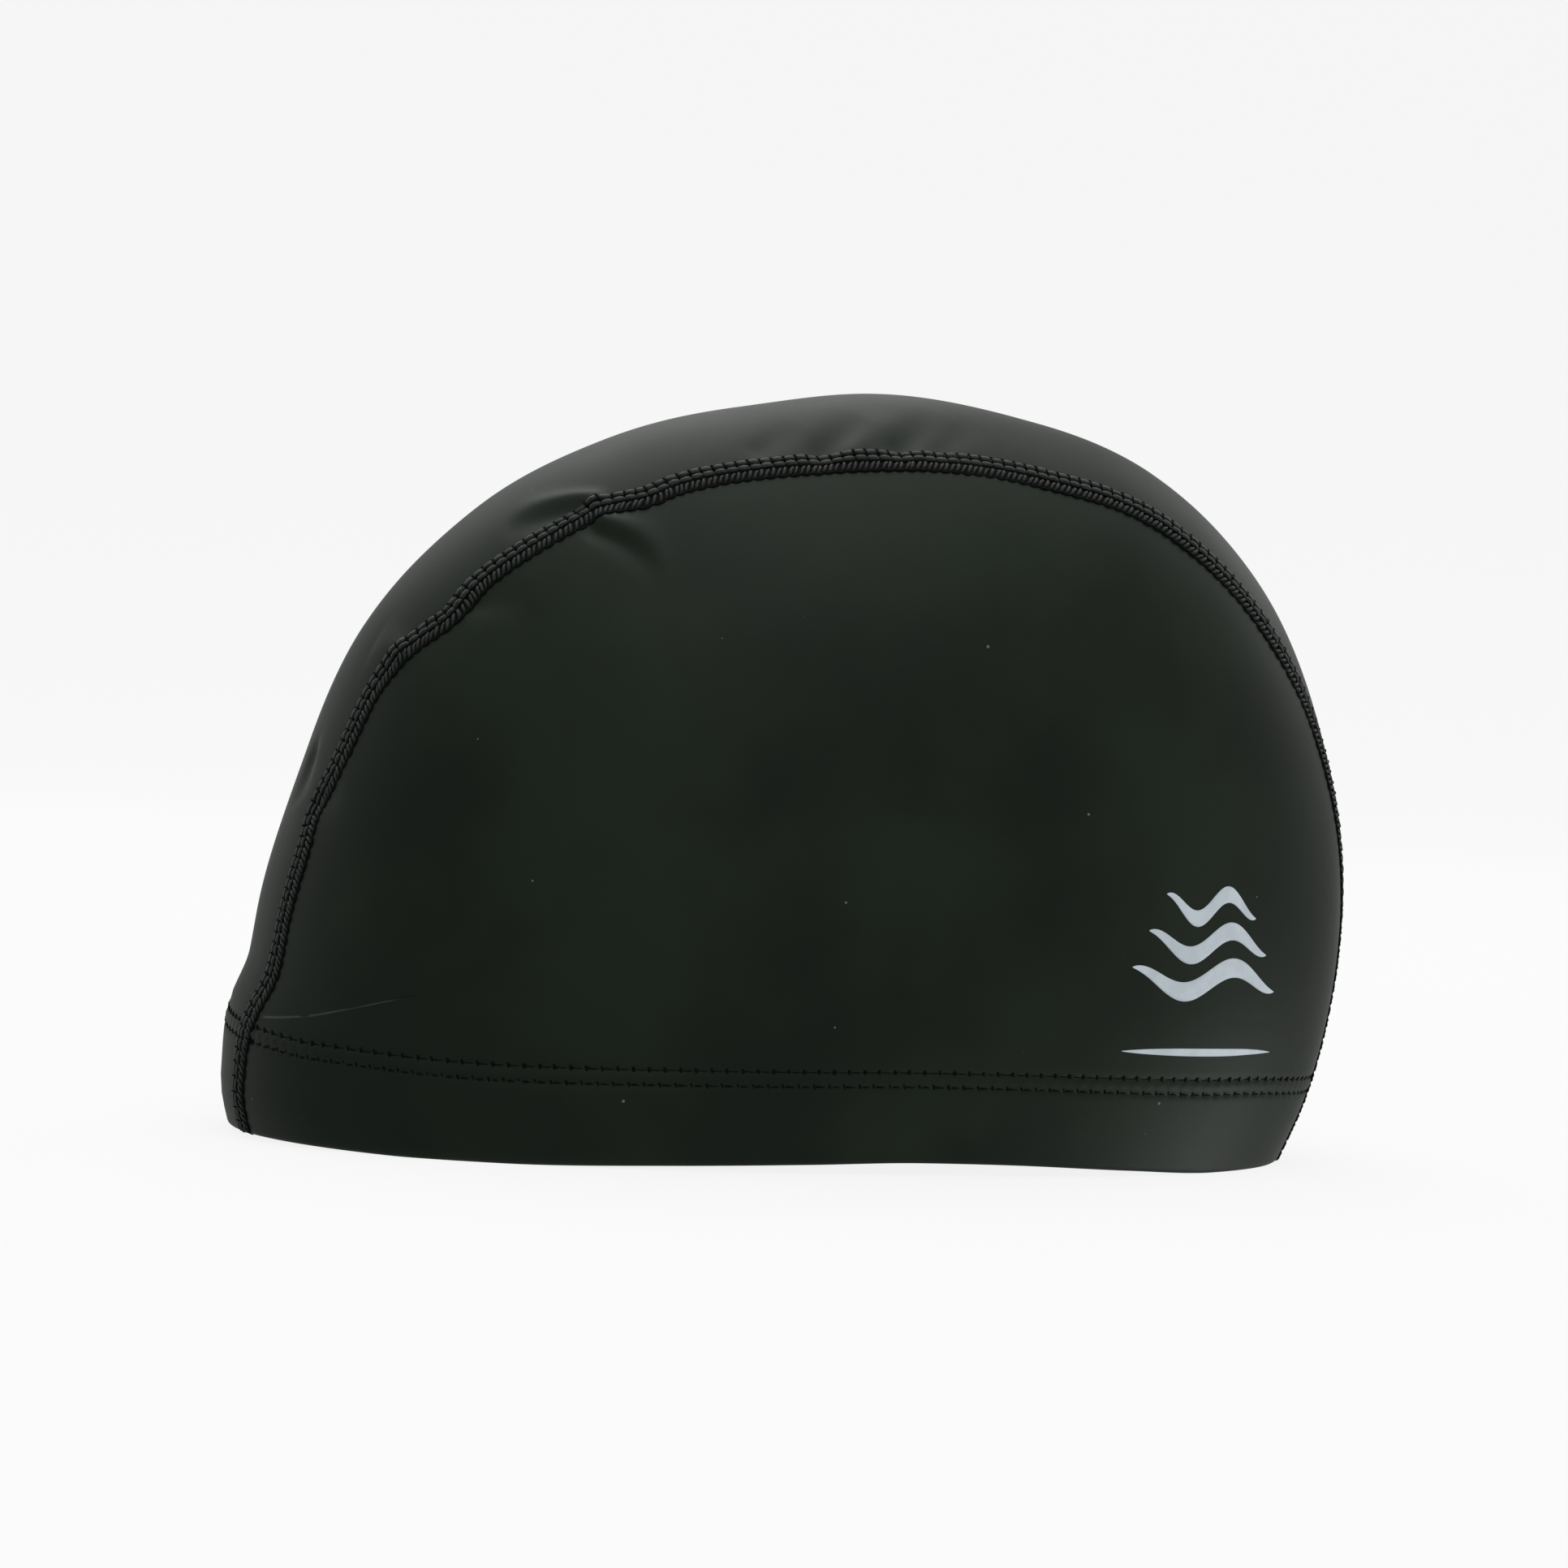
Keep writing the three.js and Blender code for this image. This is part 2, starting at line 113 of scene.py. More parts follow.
def curve_through(rows):
    """A smooth curve through rows of place and value, level where a row is a highest or lowest point."""
    places, values = np.array(rows, float).T
    rise = np.diff(values) / np.diff(places)
    before = np.append(rise[0], rise)
    after = np.append(rise, rise[-1])
    slopes = np.where(before * after <= 0, 0, (before + after) / 2)

    def value_at(place):
        at = np.clip(place, places[0], places[-1])
        i = np.clip(np.searchsorted(places, at) - 1, 0, len(places) - 2)
        span = places[i + 1] - places[i]
        t = (at - places[i]) / span
        ease = t * t * (3 - 2 * t)
        value = values[i] * (1 - ease) + values[i + 1] * ease
        return value + span * t * (1 - t) * (slopes[i] * (1 - t) - slopes[i + 1] * t)

    return value_at


def smooth_step(value, low, high):
    """0 below low, 1 above high and a smooth rise between them."""
    t = np.clip((value - low) / (high - low), 0, 1)
    return t * t * (3 - 2 * t)


def bump(distance):
    """A soft bump, 1 at no distance and fading out by about two."""
    return np.exp(-distance * distance)


reach_at = curve_through(ARCH_REACH)
strip_at = {LEFT: curve_through(LEFT_STRIP), RIGHT: curve_through(RIGHT_STRIP)}
spread_at = curve_through(SIDE_SPREAD)
lift_at = curve_through(RIM_LIFT)


def form_sizes():
    """The cap's half length, half width and height, from the boxes of the frame's nodes."""
    centre_low, centre_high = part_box("centre_panel")
    side_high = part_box("right_side_panel")[1]
    turns = np.linspace(0, 180, 1801)
    reach = reach_at(turns)
    height = centre_high.z / (np.sin(np.radians(turns)) * reach).max()
    half_length = -centre_low.x / (-np.cos(np.radians(turns)) * reach).max()
    share_up = np.linspace(0, 0.9, 901)
    size = share_up / reach_at(90)
    standing_out = spread_at(share_up) * np.maximum(1 - size**CROWN_ROUNDNESS, 0) ** (1 / SIDE_ROUNDNESS)
    return half_length, side_high.y / standing_out.max(), height


HALF_LENGTH, HALF_WIDTH, CAP_HEIGHT = form_sizes()
ARCH_RADIUS = (HALF_LENGTH + CAP_HEIGHT) / 2


def length_setting(name, description, default):
    """A length that shows in the sidebar."""
    return FloatProperty(name=name, description=description, default=default, unit="LENGTH")


def colour_setting(name, description, default):
    """A colour that shows in the sidebar."""
    return FloatVectorProperty(name=name, description=description, default=default, subtype="COLOR")


def share_setting(name, description, default):
    """A share or strength that shows in the sidebar."""
    limits = {"min": 0, "soft_max": 1}
    return FloatProperty(name=name, description=description, default=default, subtype="FACTOR", **limits)


class SwimCapCloth(bpy.types.PropertyGroup):
    """Sizes and colours of the cloth and its hem"""

    wall: length_setting("Cloth wall", "Thickness of one layer of cloth", 1.0 * MM)
    hem_wall: length_setting("Hem wall", "Thickness of the turned-up hem", 2.0 * MM)
    hem_depth: length_setting("Hem depth", "How far the hem is turned up inside", 19 * MM)
    centre_width: length_setting("Centre width", "Widest width of the centre panel", 70 * MM)
    rim_lift: length_setting("Rim lift", "How far the rim bows up off the ground", 2.3 * MM)
    brow_rise: length_setting("Brow rise", "How much higher the hem is sewn on the brow", 3.6 * MM)
    nape_drop: length_setting("Nape drop", "How much lower the hem is sewn at the nape", 1.6 * MM)
    crease_height: length_setting("Crease height", "Depth of the deepest crease", 1.7 * MM)
    side_colour: colour_setting("Side colour", "Colour of the side panels", (0.0078, 0.0126, 0.0078))
    centre_colour: colour_setting("Centre colour", "Colour of the centre panel", (0.0088, 0.013, 0.0092))
    dust: share_setting("Dust", "How much dust lies on the cloth", 1.0)


class SwimCapThread(bpy.types.PropertyGroup):
    """Sizes and colours of the seams and stitches"""

    seam_width: length_setting("Seam width", "Width of a flatlock seam", 5.4 * MM)
    seam_stitch: length_setting("Seam stitch", "Length of one stitch of a seam", 2.27 * MM)
    hem_stitch: length_setting("Hem stitch", "Length of one stitch of the hem", 2.9 * MM)
    thickness: share_setting("Thread thickness", "Thickness of all threads, as a share of the usual one", 1.0)
    seed: IntProperty(name="Seed", description="Chooses the small differences between stitches", default=7)
    loop_colour: colour_setting("Loop colour", "Colour of the covering threads", (0.0115, 0.0165, 0.0125))
    # Also used on the seams' thread mat, their edge thread and the hem's knots, where its near-black is
    # partly painted shade.
    needle_and_shade_colour: colour_setting("Needle colour", "Colour of the sunken threads", (0.003, 0.0035, 0.003))


class SwimCapPrint(bpy.types.PropertyGroup):
    """Size and colour of the plain print"""

    width: length_setting("Print width", "Width of the longest wave", 36 * MM)
    film: length_setting("Film", "Thickness of the printed film", 0.08 * MM)
    colour: colour_setting("Print colour", "Colour of the print", (0.72, 0.81, 0.87))


class SwimCapStage(bpy.types.PropertyGroup):
    """Lights and floor"""

    floor_tone: share_setting("Floor tone", "How bright the floor and backdrop are", 0.93)
    light: share_setting("Light", "Strength of all the lights", 1.0)


def settings():
    """The scene's own sizes and colours."""
    scene = bpy.context.scene
    return scene.swim_cap_cloth, scene.swim_cap_thread, scene.swim_cap_print, scene.swim_cap_stage


# The bare form: every point whose field is 1


def turn_of(x, z):
    """Angle round the arch, in degrees."""
    return np.degrees(np.arctan2(np.maximum(z, 0) / CAP_HEIGHT, x / HALF_LENGTH))


def size_of(x, z):
    """How large the arch through a place is, as a share of the cap's own."""
    return np.hypot(x / HALF_LENGTH, np.maximum(z, 0) / CAP_HEIGHT) / reach_at(turn_of(x, z))


def width_at(z):
    """Half the cap's width at a height, where the crown's curve doesn't narrow it."""
    return HALF_WIDTH * spread_at(np.maximum(z, 0) / CAP_HEIGHT)


def field(points):
    """1 on the bare form, less inside it and more outside."""
    x, y, z = np.moveaxis(points, -1, 0)
    return size_of(x, z) ** CROWN_ROUNDNESS + (np.abs(y) / width_at(z)) ** SIDE_ROUNDNESS


def gradient(points):
    """Way in which the field grows fastest."""
    step = 0.01 * MM
    ways = np.eye(3) * step
    return np.stack([field(points + way) - field(points - way) for way in ways], axis=-1) / (2 * step)


def unit(vectors):
    """The same directions with a length of 1."""
    return vectors / np.maximum(np.linalg.norm(vectors, axis=-1, keepdims=True), 1e-12)


def settle(points):
    """Points of the bare form nearest to points that are already close to it."""
    settled = np.array(points, float)
    for _ in range(3):
        slope = gradient(settled)
        error = field(settled) - 1
        settled -= slope * (error / (slope * slope).sum(-1))[..., None]
    return settled


def point_across(turn, y):
    """Bare points at turns round the arch and distances from the crown line."""
    reach = reach_at(turn)
    end_x = np.cos(np.radians(turn)) * HALF_LENGTH * reach
    end_z = np.sin(np.radians(turn)) * CAP_HEIGHT * reach
    size = np.ones_like(reach)
    for _ in range(12):
        share = np.abs(y) / width_at(end_z * size)
        size = np.maximum(1 - share**SIDE_ROUNDNESS, 0) ** (1 / CROWN_ROUNDNESS)
    return np.stack([end_x * size, np.broadcast_to(y, size.shape), end_z * size], axis=-1)


def point_beside(x, z, side):
    """Bare points of one side at a length and height."""
    share = np.maximum(1 - size_of(x, z) ** CROWN_ROUNDNESS, 0) ** (1 / SIDE_ROUNDNESS)
    y = side * width_at(z) * share
    return np.stack(np.broadcast_arrays(x, y, z), axis=-1)


def rolled_out(turn, y):
    """Places on the cloth as if it were rolled out flat."""
    return np.stack(np.broadcast_arrays(np.radians(turn) * ARCH_RADIUS, y), axis=-1)


def crease_at(bare):
    """How far the creases push the cloth out."""
    x, y, z = np.moveaxis(bare, -1, 0)
    here = rolled_out(turn_of(x, z), y)
    push = np.zeros(here.shape[:-1])
    for turn, across, to_turn, to_across, reach, strength in CREASES:
        start = rolled_out(turn, across * HALF_WIDTH)
        run = rolled_out(to_turn, to_across * HALF_WIDTH) - start
        along = np.clip(((here - start) @ run) / (run @ run), 0, 1)
        nearest = start + along[..., None] * run
        away = np.linalg.norm(here - nearest, axis=-1) / (reach * 2 * HALF_LENGTH * (1 + along))
        push += strength * (1 - along * along) * bump(away)
    return push * settings()[0].crease_height


# Where the hem's rise on the brow and its drop at the nape start and are full, as shares of the half length
BROW_PART = (0.64, 1)
NAPE_PART = (0.69, 0.99)
# The rise on the brow is askew: how fast it grows across the cap, and its least and most share
ASKEW_SLOPE = 2.4
ASKEW_LIMITS = (0.35, 1.4)
# Up the cap, the rise is full between two heights and fades to nothing at the rim and at its end
RISE_FULL = (15 * MM, 24 * MM)
RISE_END = 75 * MM


def hem_rise(bare):
    """How much higher the cloth sits than at the sides: most on the brow, and lower at the nape."""
    cloth = settings()[0]
    x, y, z = np.moveaxis(bare, -1, 0)
    askew = np.clip(1 + y / HALF_LENGTH * ASKEW_SLOPE, *ASKEW_LIMITS)
    brow = cloth.brow_rise * smooth_step(-x / HALF_LENGTH, *BROW_PART) * askew
    nape = cloth.nape_drop * smooth_step(x / HALF_LENGTH, *NAPE_PART)
    fade = 1 - smooth_step(z, RISE_FULL[1], RISE_END)
    return (brow - nape) * smooth_step(z, 0, RISE_FULL[0]) * fade


def dress(bare, depth):
    """Cloth points that lie a depth inside the outer face, with the creases and the rim's rise."""
    cloth = settings()[0]
    x, z = bare[..., 0], bare[..., 2]
    out = gradient(bare)
    out[..., 2] *= smooth_step(z, 0, cloth.hem_depth)
    points = bare + unit(out) * (crease_at(bare) - depth)[..., None]
    lift_fade = 60 * MM
    points[..., 2] += cloth.rim_lift * lift_at(x / HALF_LENGTH) * np.maximum(1 - z / lift_fade, 0) ** 2
    points[..., 2] += hem_rise(bare)
    return points


def wall_at(z):
    """Thickness of the cloth at a height: double in the hem."""
    cloth = settings()[0]
    edge_step = 0.8 * MM
    turned_up = 1 - smooth_step(z, cloth.hem_depth, cloth.hem_depth + edge_step)
    return cloth.wall + (cloth.hem_wall - cloth.wall) * turned_up


# Seams: lines round the arch on either side of the centre panel


class SeamLine:
    """One seam's line on the bare form, measured along its length from the nape to the brow."""

    def __init__(self, side):
        self.side = side
        self.turns = np.linspace(0, 180, 2401)
        steps = np.linalg.norm(np.diff(self.points(self.turns), axis=0), axis=-1)
        self.along = np.append(0, np.cumsum(steps))
        self.length = self.along[-1]

    def points(self, turn):
        """Bare points of the line at turns round the arch."""
        cloth, thread = settings()[:2]
        across = strip_at[self.side](turn) * cloth.centre_width / 2
        if self.side == LEFT:
            for middle, spread, shift in PUCKERS:
                across = across + shift * thread.seam_width * bump((turn - middle) / spread)
        return point_across(turn, self.side * across)

    def turn_at(self, along):
        """Turns at lengths along the line."""
        return np.interp(along, self.along, self.turns)

    def along_at_height(self, height, brow):
        """Length along the line where it passes a height, at its nape end or its brow end."""
        heights = self.points(self.turns)[:, 2]
        third = len(heights) // 3
        if brow:
            return np.interp(height, heights[::-1][:third], self.along[::-1][:third])
        return np.interp(height, heights[:third], self.along[:third])

    def beside(self, along, across):
        """Bare points at lengths along the line and distances in from it, towards the centre panel."""
        along, across = np.broadcast_arrays(along, across)
        turn = self.turn_at(along)
        point = self.points(turn)
        step = 0.4
        ahead = self.points(np.minimum(turn + step, 180))
        behind = self.points(np.maximum(turn - step, 0))
        tangent = unit(ahead - behind)
        inward = unit(np.cross(tangent, unit(gradient(point)))) * -self.side
        return settle(point + inward * across[..., None])


SIDE_NAMES = {LEFT: "left", RIGHT: "right"}
SEAMS = {}


# Meshes


def new_piece(name, points, faces, material):
    """A mesh object from points and faces that rides on the cap."""
    mesh = bpy.data.meshes.new(name)
    mesh.from_pydata(points.reshape(-1, 3).tolist(), [], faces)
    mesh.update()
    mesh.validate()
    piece = bpy.data.objects.new(name, mesh)
    bpy.context.scene.collection.objects.link(piece)
    mesh.materials.append(material)
    mesh.shade_smooth()
    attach(piece, "root")
    return piece


def grid_faces(rows, columns, first=0):
    """Quads of a grid of points in rows."""
    index = first + np.arange(rows * columns).reshape(rows, columns)
    corners = [index[:-1, :-1], index[:-1, 1:], index[1:, 1:], index[1:, :-1]]
    return np.stack(corners, axis=-1).reshape(-1, 4)


def close_sheet(outer, inner, faces):
    """A closed sheet from its outer points, its inner points and the faces of its outer side."""
    count = len(outer)
    backs = [tuple(count + np.array(face[::-1])) for face in faces]
    starts = np.concatenate([np.array(face) for face in faces])
    ends = np.concatenate([np.roll(face, -1) for face in faces])
    open_edge = ~np.isin(starts * count + ends, ends * count + starts)
    edges = np.stack([ends, starts, count + starts, count + ends], axis=-1)[open_edge]
    return np.concatenate([outer, inner]), [*map(tuple, faces), *backs, *map(tuple, edges.tolist())]


HEM_ROWS = np.array([
    0, 0.08, 0.25, 0.5, 0.85, 1.6, 3, 5, 7.5, 10, 12.2, 14, 14.7, 15.1, 15.35, 15.6, 15.85, 16.1, 16.5,
    17.1, 17.6, 18, 18.25, 18.5, 18.75, 19, 19.4, 20.2,
]) * MM
STITCH_HEIGHTS = (15.6 * MM, 18.5 * MM)
FOLD = 0.85 * MM


def fold_depth(z):
    """How far the rim's fold rounds the outer face in at a height."""
    below = np.clip(1 - z / FOLD, 0, 1)
    return FOLD * (1 - np.sqrt(1 - below * below))


def hem_relief(bare, stitches_along):
    """How far the stitch rows draw the hem's cloth in, with a pit at each needle hole."""
    z = bare[..., 2]
    row_width, row_depth = 0.55 * MM, 0.16 * MM
    pit_width, pit_depth = 0.42 * MM, 0.3 * MM
    puff_width, puff_height = 0.9 * MM, 0.14 * MM
    from_hole = np.abs(stitches_along - np.round(stitches_along)) * settings()[1].hem_stitch
    relief = np.zeros_like(z)
    for height in STITCH_HEIGHTS:
        row = bump((z - height) / row_width)
        pit = bump(from_hole / pit_width) * bump((z - height) / pit_width)
        relief += row_depth * row + pit_depth * pit
    puff = bump((z - sum(STITCH_HEIGHTS) / 2) / puff_width)
    relief -= puff_height * puff * (0.6 + 0.4 * np.cos(2 * np.pi * stitches_along))
    return relief


def wobble(bare):
    """Low waves that keep the cloth from being perfectly even."""
    x, y, z = np.moveaxis(bare, -1, 0) / MM
    wave_height = 0.07 * MM
    long_waves = np.sin(x / 9.1 + z / 13 + 1.3) * np.sin(z / 11 - y / 15)
    short_waves = 0.6 * np.sin(x / 5.2 - z / 7.4 + y / 9)
    above_hem = smooth_step(z * MM, 20 * MM, 32 * MM)
    return wave_height * (long_waves + short_waves) * above_hem


def faces_of(bare, stitches_along):
    """Outer and inner points of a sheet of cloth over bare points."""
    z = bare[..., 2]
    fold = fold_depth(z)
    wall = wall_at(z)
    wave = wobble(bare)
    outer = dress(bare, fold + hem_relief(bare, stitches_along) - wave)
    inner = dress(bare, np.maximum(wall - fold, fold) - wave)
    return outer, inner


class HemRow:
    """A row round one panel's hem at a height, measured along its length."""

    def __init__(self, bare):
        self.bare = bare
        steps = np.linalg.norm(np.diff(bare, axis=0), axis=-1)
        self.along = np.append(0, np.cumsum(steps))
        self.length = self.along[-1]
        pitch = settings()[1].hem_stitch
        self.stitches = max(int(round(self.length / pitch)), 1)

    def at(self, stitches_along):
        """Bare points at numbers of stitches along the row."""
        along = np.asarray(stitches_along) * self.length / self.stitches
        return np.stack([np.interp(along, self.along, self.bare[:, axis]) for axis in range(3)], axis=-1)


def side_row(side, height, inset):
    """The row round a side panel's hem, from the brow seam to the nape seam."""
    seam = SEAMS[side]
    ends = [seam.beside(seam.along_at_height(height, brow), -inset)[0] for brow in (True, False)]
    share = (1 - np.cos(np.linspace(0, np.pi, 801))) / 2
    bare = point_beside(ends[0] + (ends[1] - ends[0]) * share, height, side)
    return HemRow(bare)


def centre_row(brow, height, inset):
    """The row round the centre panel's hem at the brow or the nape, from left to right."""
    ends = []
    for side in (LEFT, RIGHT):
        seam = SEAMS[side]
        ends.append(seam.beside(seam.along_at_height(height, brow), inset))
    y = np.linspace(ends[0][1], ends[1][1], 201)
    turn_ends = [turn_of(end[0], height) for end in ends]
    turn = np.linspace(turn_ends[0], turn_ends[1], 201)
    bare = point_across(turn, y)
    bare[:, 2] = height
    return HemRow(bare)


def seam_stations(seam, crown_steps):
    """Lengths along a seam where the panels' rows meet it: each hem row, and even steps between."""
    nape = [float(seam.along_at_height(height, False)) for height in HEM_ROWS]
    brow = [float(seam.along_at_height(height, True)) for height in HEM_ROWS]
    crown = np.linspace(nape[-1], brow[-1], crown_steps + 1)
    return np.concatenate([nape[:-1], crown, brow[-2::-1]])


CROWN_STEPS = 420
RIM_STEPS = 400
PANEL_EDGE = 0.5 * MM
# Lines of points beside the seam, as distances from it; the hem's rows start at the last
STRIP = (PANEL_EDGE, 1.5 * MM, 2.9 * MM)
MIDDLE = (0.05, 0.45)
# Rings of a side panel by their share of its size, close together where it bends round to the brow
EDGE_RINGS = [
    0.998, 0.9955, 0.9925, 0.989, 0.984, 0.978, 0.971, 0.962, 0.952, 0.94, 0.926, 0.91, 0.892, 0.872, 0.85,
    0.827, 0.804,
]


def side_bare(side):
    """Bare points and faces of a side panel: a strip along the seam, hem rows, and rings round the middle."""
    seam = SEAMS[side]
    stations = seam_stations(seam, CROWN_STEPS)
    count = len(stations)
    hem = len(HEM_ROWS) - 1
    strip = [seam.beside(stations, -distance) for distance in STRIP]
    for line in strip:
        line[: hem + 1, 2] = HEM_ROWS
        line[-hem - 1 :, 2] = HEM_ROWS[::-1]
    points = list(strip)
    faces = [grid_faces(3, count)]
    first = 2 * count
    total = 3 * count

    share = (1 - np.cos(np.arange(1, RIM_STEPS) / RIM_STEPS * np.pi)) / 2
    brow_ends = strip[2][::-1][: hem + 1]
    nape_ends = strip[2][: hem + 1]
    x = brow_ends[:, :1] + (nape_ends[:, :1] - brow_ends[:, :1]) * share
    rows = point_beside(x, HEM_ROWS[:, None], side)
    points.append(rows.reshape(-1, 3))
    inner = total + np.arange(rows.shape[0] * rows.shape[1]).reshape(rows.shape[:2])
    total += inner.size
    brow_index = first + count - 1 - np.arange(hem + 1)
    nape_index = first + np.arange(hem + 1)
    table = np.concatenate([brow_index[:, None], inner, nape_index[:, None]], axis=1)
    corners = [table[:-1, :-1], table[:-1, 1:], table[1:, 1:], table[1:, :-1]]
    faces.append(np.stack(corners, axis=-1).reshape(-1, 4))

    ring = np.concatenate([table[-1], first + np.arange(hem + 1, count - 1 - hem)])
    everything = np.concatenate(points)
    kept = everything[ring][:, [0, 2]]
    middle = np.array([MIDDLE[0] * HALF_LENGTH, MIDDLE[1] * CAP_HEIGHT])
    shares = [*EDGE_RINGS, *np.arange(0.78, 0.5, -0.025), *np.arange(0.48, 0.05, -0.035)]
    triangles = []
    halved_at = (0.78, 0.48)
    extra = []
    for ring_share in shares:
        halved = any(abs(ring_share - h) < 1e-9 for h in halved_at)
        if halved:
            kept = kept[::2]
        place = middle + (kept - middle) * ring_share
        new = point_beside(place[:, 0], place[:, 1], side)
        index = total + np.arange(len(new))
        total += len(new)
        extra.append(new)
        following = np.roll(index, -1)
        if halved:
            size = len(ring)
            at = 2 * np.arange(len(new))
            a, b, c = ring[at], ring[(at + 1) % size], ring[(at + 2) % size]
            for corners in ((a, b, index), (b, following, index), (b, c, following)):
                triangles.append(np.stack(corners, axis=-1))
        else:
            faces.append(np.stack([ring, np.roll(ring, -1), following, index], axis=-1))
        ring = index
    centre = point_beside(middle[:1], middle[1:], side)
    extra.append(centre)
    triangles.append(np.stack([ring, np.roll(ring, -1), np.full(len(ring), total)], axis=-1))
    bare = np.concatenate([everything, *extra])
    all_faces = [row for block in (*faces, *triangles) for row in block.tolist()]
    return bare, all_faces


def side_piece(side, material):
    """A side panel as one closed sheet of cloth."""
    bare, faces = side_bare(side)
    row = side_row(side, STITCH_HEIGHTS[1], STRIP[-1])
    stitches_along = np.interp(bare[:, 0], row.bare[:, 0], row.along) / row.length * row.stitches
    outer, inner = faces_of(bare, stitches_along)
    if side == RIGHT:
        faces = [face[::-1] for face in faces]
    points, faces = close_sheet(outer, inner, faces)
    piece = new_piece(f"{SIDE_NAMES[side]}_side_cloth", points, faces, material)
    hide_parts(f"{SIDE_NAMES[side]}_side_panel")
    return piece


CENTRE_COLUMNS = 56


def centre_piece(material):
    """The centre panel as one closed sheet of cloth."""
    lines = {side: seam_stations(SEAMS[side], CROWN_STEPS) for side in (LEFT, RIGHT)}
    left_from = SEAMS[LEFT].beside(lines[LEFT], PANEL_EDGE)
    right_to = SEAMS[RIGHT].beside(lines[RIGHT], PANEL_EDGE)
    share = np.linspace(0, 1, CENTRE_COLUMNS + 1)
    turn_from = turn_of(left_from[:, 0], left_from[:, 2])[:, None]
    turn_to = turn_of(right_to[:, 0], right_to[:, 2])[:, None]
    y = left_from[:, 1:2] + (right_to[:, 1:2] - left_from[:, 1:2]) * share
    bare = point_across(turn_from + (turn_to - turn_from) * share, y)
    hem = len(HEM_ROWS)
    bare[:hem, :, 2] = HEM_ROWS[:, None]
    bare[-hem:, :, 2] = HEM_ROWS[::-1, None]
    stitches_along = np.zeros(bare.shape[:2])
    for brow in (True, False):
        row = centre_row(brow, STITCH_HEIGHTS[1], STRIP[-1])
        along = np.interp(bare[..., 1], row.bare[:, 1], row.along) / row.length * row.stitches
        stitches_along = np.where((bare[..., 0] < 0) == brow, along, stitches_along)
    outer, inner = faces_of(bare.reshape(-1, 3), stitches_along.reshape(-1))
    faces = grid_faces(*bare.shape[:2]).tolist()
    points, faces = close_sheet(outer, inner, faces)
    piece = new_piece("centre_cloth", points, faces, material)
    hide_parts("centre_panel")
    return piece


# Seam band: its section in mm, as distance from the line and depth under the outer face,
# and then as distance and depth under the inner face
BAND_TOP = [
    (2.75, 0.12), (2.6, -0.02), (2.1, -0.06), (1.4, -0.04), (0.75, -0.08), (-0.15, -0.06), (-0.6, 0.0),
    (-1.0, -0.1), (-1.7, -0.2), (-2.4, -0.16), (-3.1, -0.08), (-3.45, 0.12),
]
BAND_INSIDE = [(-2.6, -0.1), (-2.3, 0.2), (-1.3, 0.32), (-0.3, 0.22), (0.9, 0.32), (1.9, 0.2), (2.3, -0.1)]


def seam_band(side, material):
    """The mat of thread that covers the joint outside and inside, in one closed piece."""
    seam = SEAMS[side]
    along = np.linspace(0, seam.length, 560)
    section = [(*row, False) for row in BAND_TOP] + [(*row, True) for row in BAND_INSIDE]
    points = []
    for place, depth, inside in section:
        bare = seam.beside(along, place * MM)
        bare[:, 2] = np.maximum(bare[:, 2], 0)
        fold = fold_depth(bare[:, 2])
        points.append(dress(bare, depth * MM + (wall_at(bare[:, 2]) - fold if inside else fold)))
    points = np.stack(points, axis=1)
    rows, columns = points.shape[:2]
    index = np.arange(rows * columns).reshape(rows, columns)
    following = np.roll(index, -1, axis=1)
    faces = np.stack([index[:-1], following[:-1], following[1:], index[1:]], axis=-1).reshape(-1, 4).tolist()
    faces += [index[0][::-1].tolist(), index[-1].tolist()]
    if side == LEFT:
        faces = [face[::-1] for face in faces]
    piece = new_piece(f"{SIDE_NAMES[side]}_seam_band", points, faces, material)
    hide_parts(f"{SIDE_NAMES[side]}_seam")
    return piece


def tubes(paths, upright, half_widths, flatness=1.0, sides=6):
    """Points and faces of closed tubes along paths, with the way up and half the width at each point."""
    count, length = paths.shape[:2]
    tangent = unit(np.gradient(paths, axis=1))
    beside = unit(np.cross(tangent, upright))
    over = np.cross(beside, tangent) * flatness
    angle = (np.arange(sides) + 0.5) / sides * 2 * np.pi
    spoke = beside[:, :, None] * np.cos(angle)[:, None] + over[:, :, None] * np.sin(angle)[:, None]
    points = paths[:, :, None] + spoke * np.broadcast_to(half_widths, (count, length))[:, :, None, None]
    index = np.arange(count * length * sides).reshape(count, length, sides)
    around = np.roll(index, -1, axis=2)
    quads = np.stack([index[:, :-1], index[:, 1:], around[:, 1:], around[:, :-1]], axis=-1).reshape(-1, 4)
    caps = np.concatenate([index[:, 0], index[:, -1, ::-1]])
    return points.reshape(-1, 3), quads.tolist() + caps.tolist()


class Tangle:
    """Many tubes or films gathered into one mesh."""

    def __init__(self):
        self.points = []
        self.faces = []
        self.total = 0

    def add(self, points, faces):
        """Adds points and the faces between them."""
        self.points.append(points)
        self.faces += [[self.total + index for index in face] for face in faces]
        self.total += len(points)

    def piece(self, name, material, slot="seam_thread"):
        """The gathered mesh as a piece; its slot is not used."""
        return new_piece(name, np.concatenate(self.points), self.faces, material)


def arched(first, second, middle):
    """A stitch that ends as it begins, from its first half."""
    last_half = [(1 - place, *rest) for place, *rest in (second, first)]
    return [first, second, middle, *last_half]


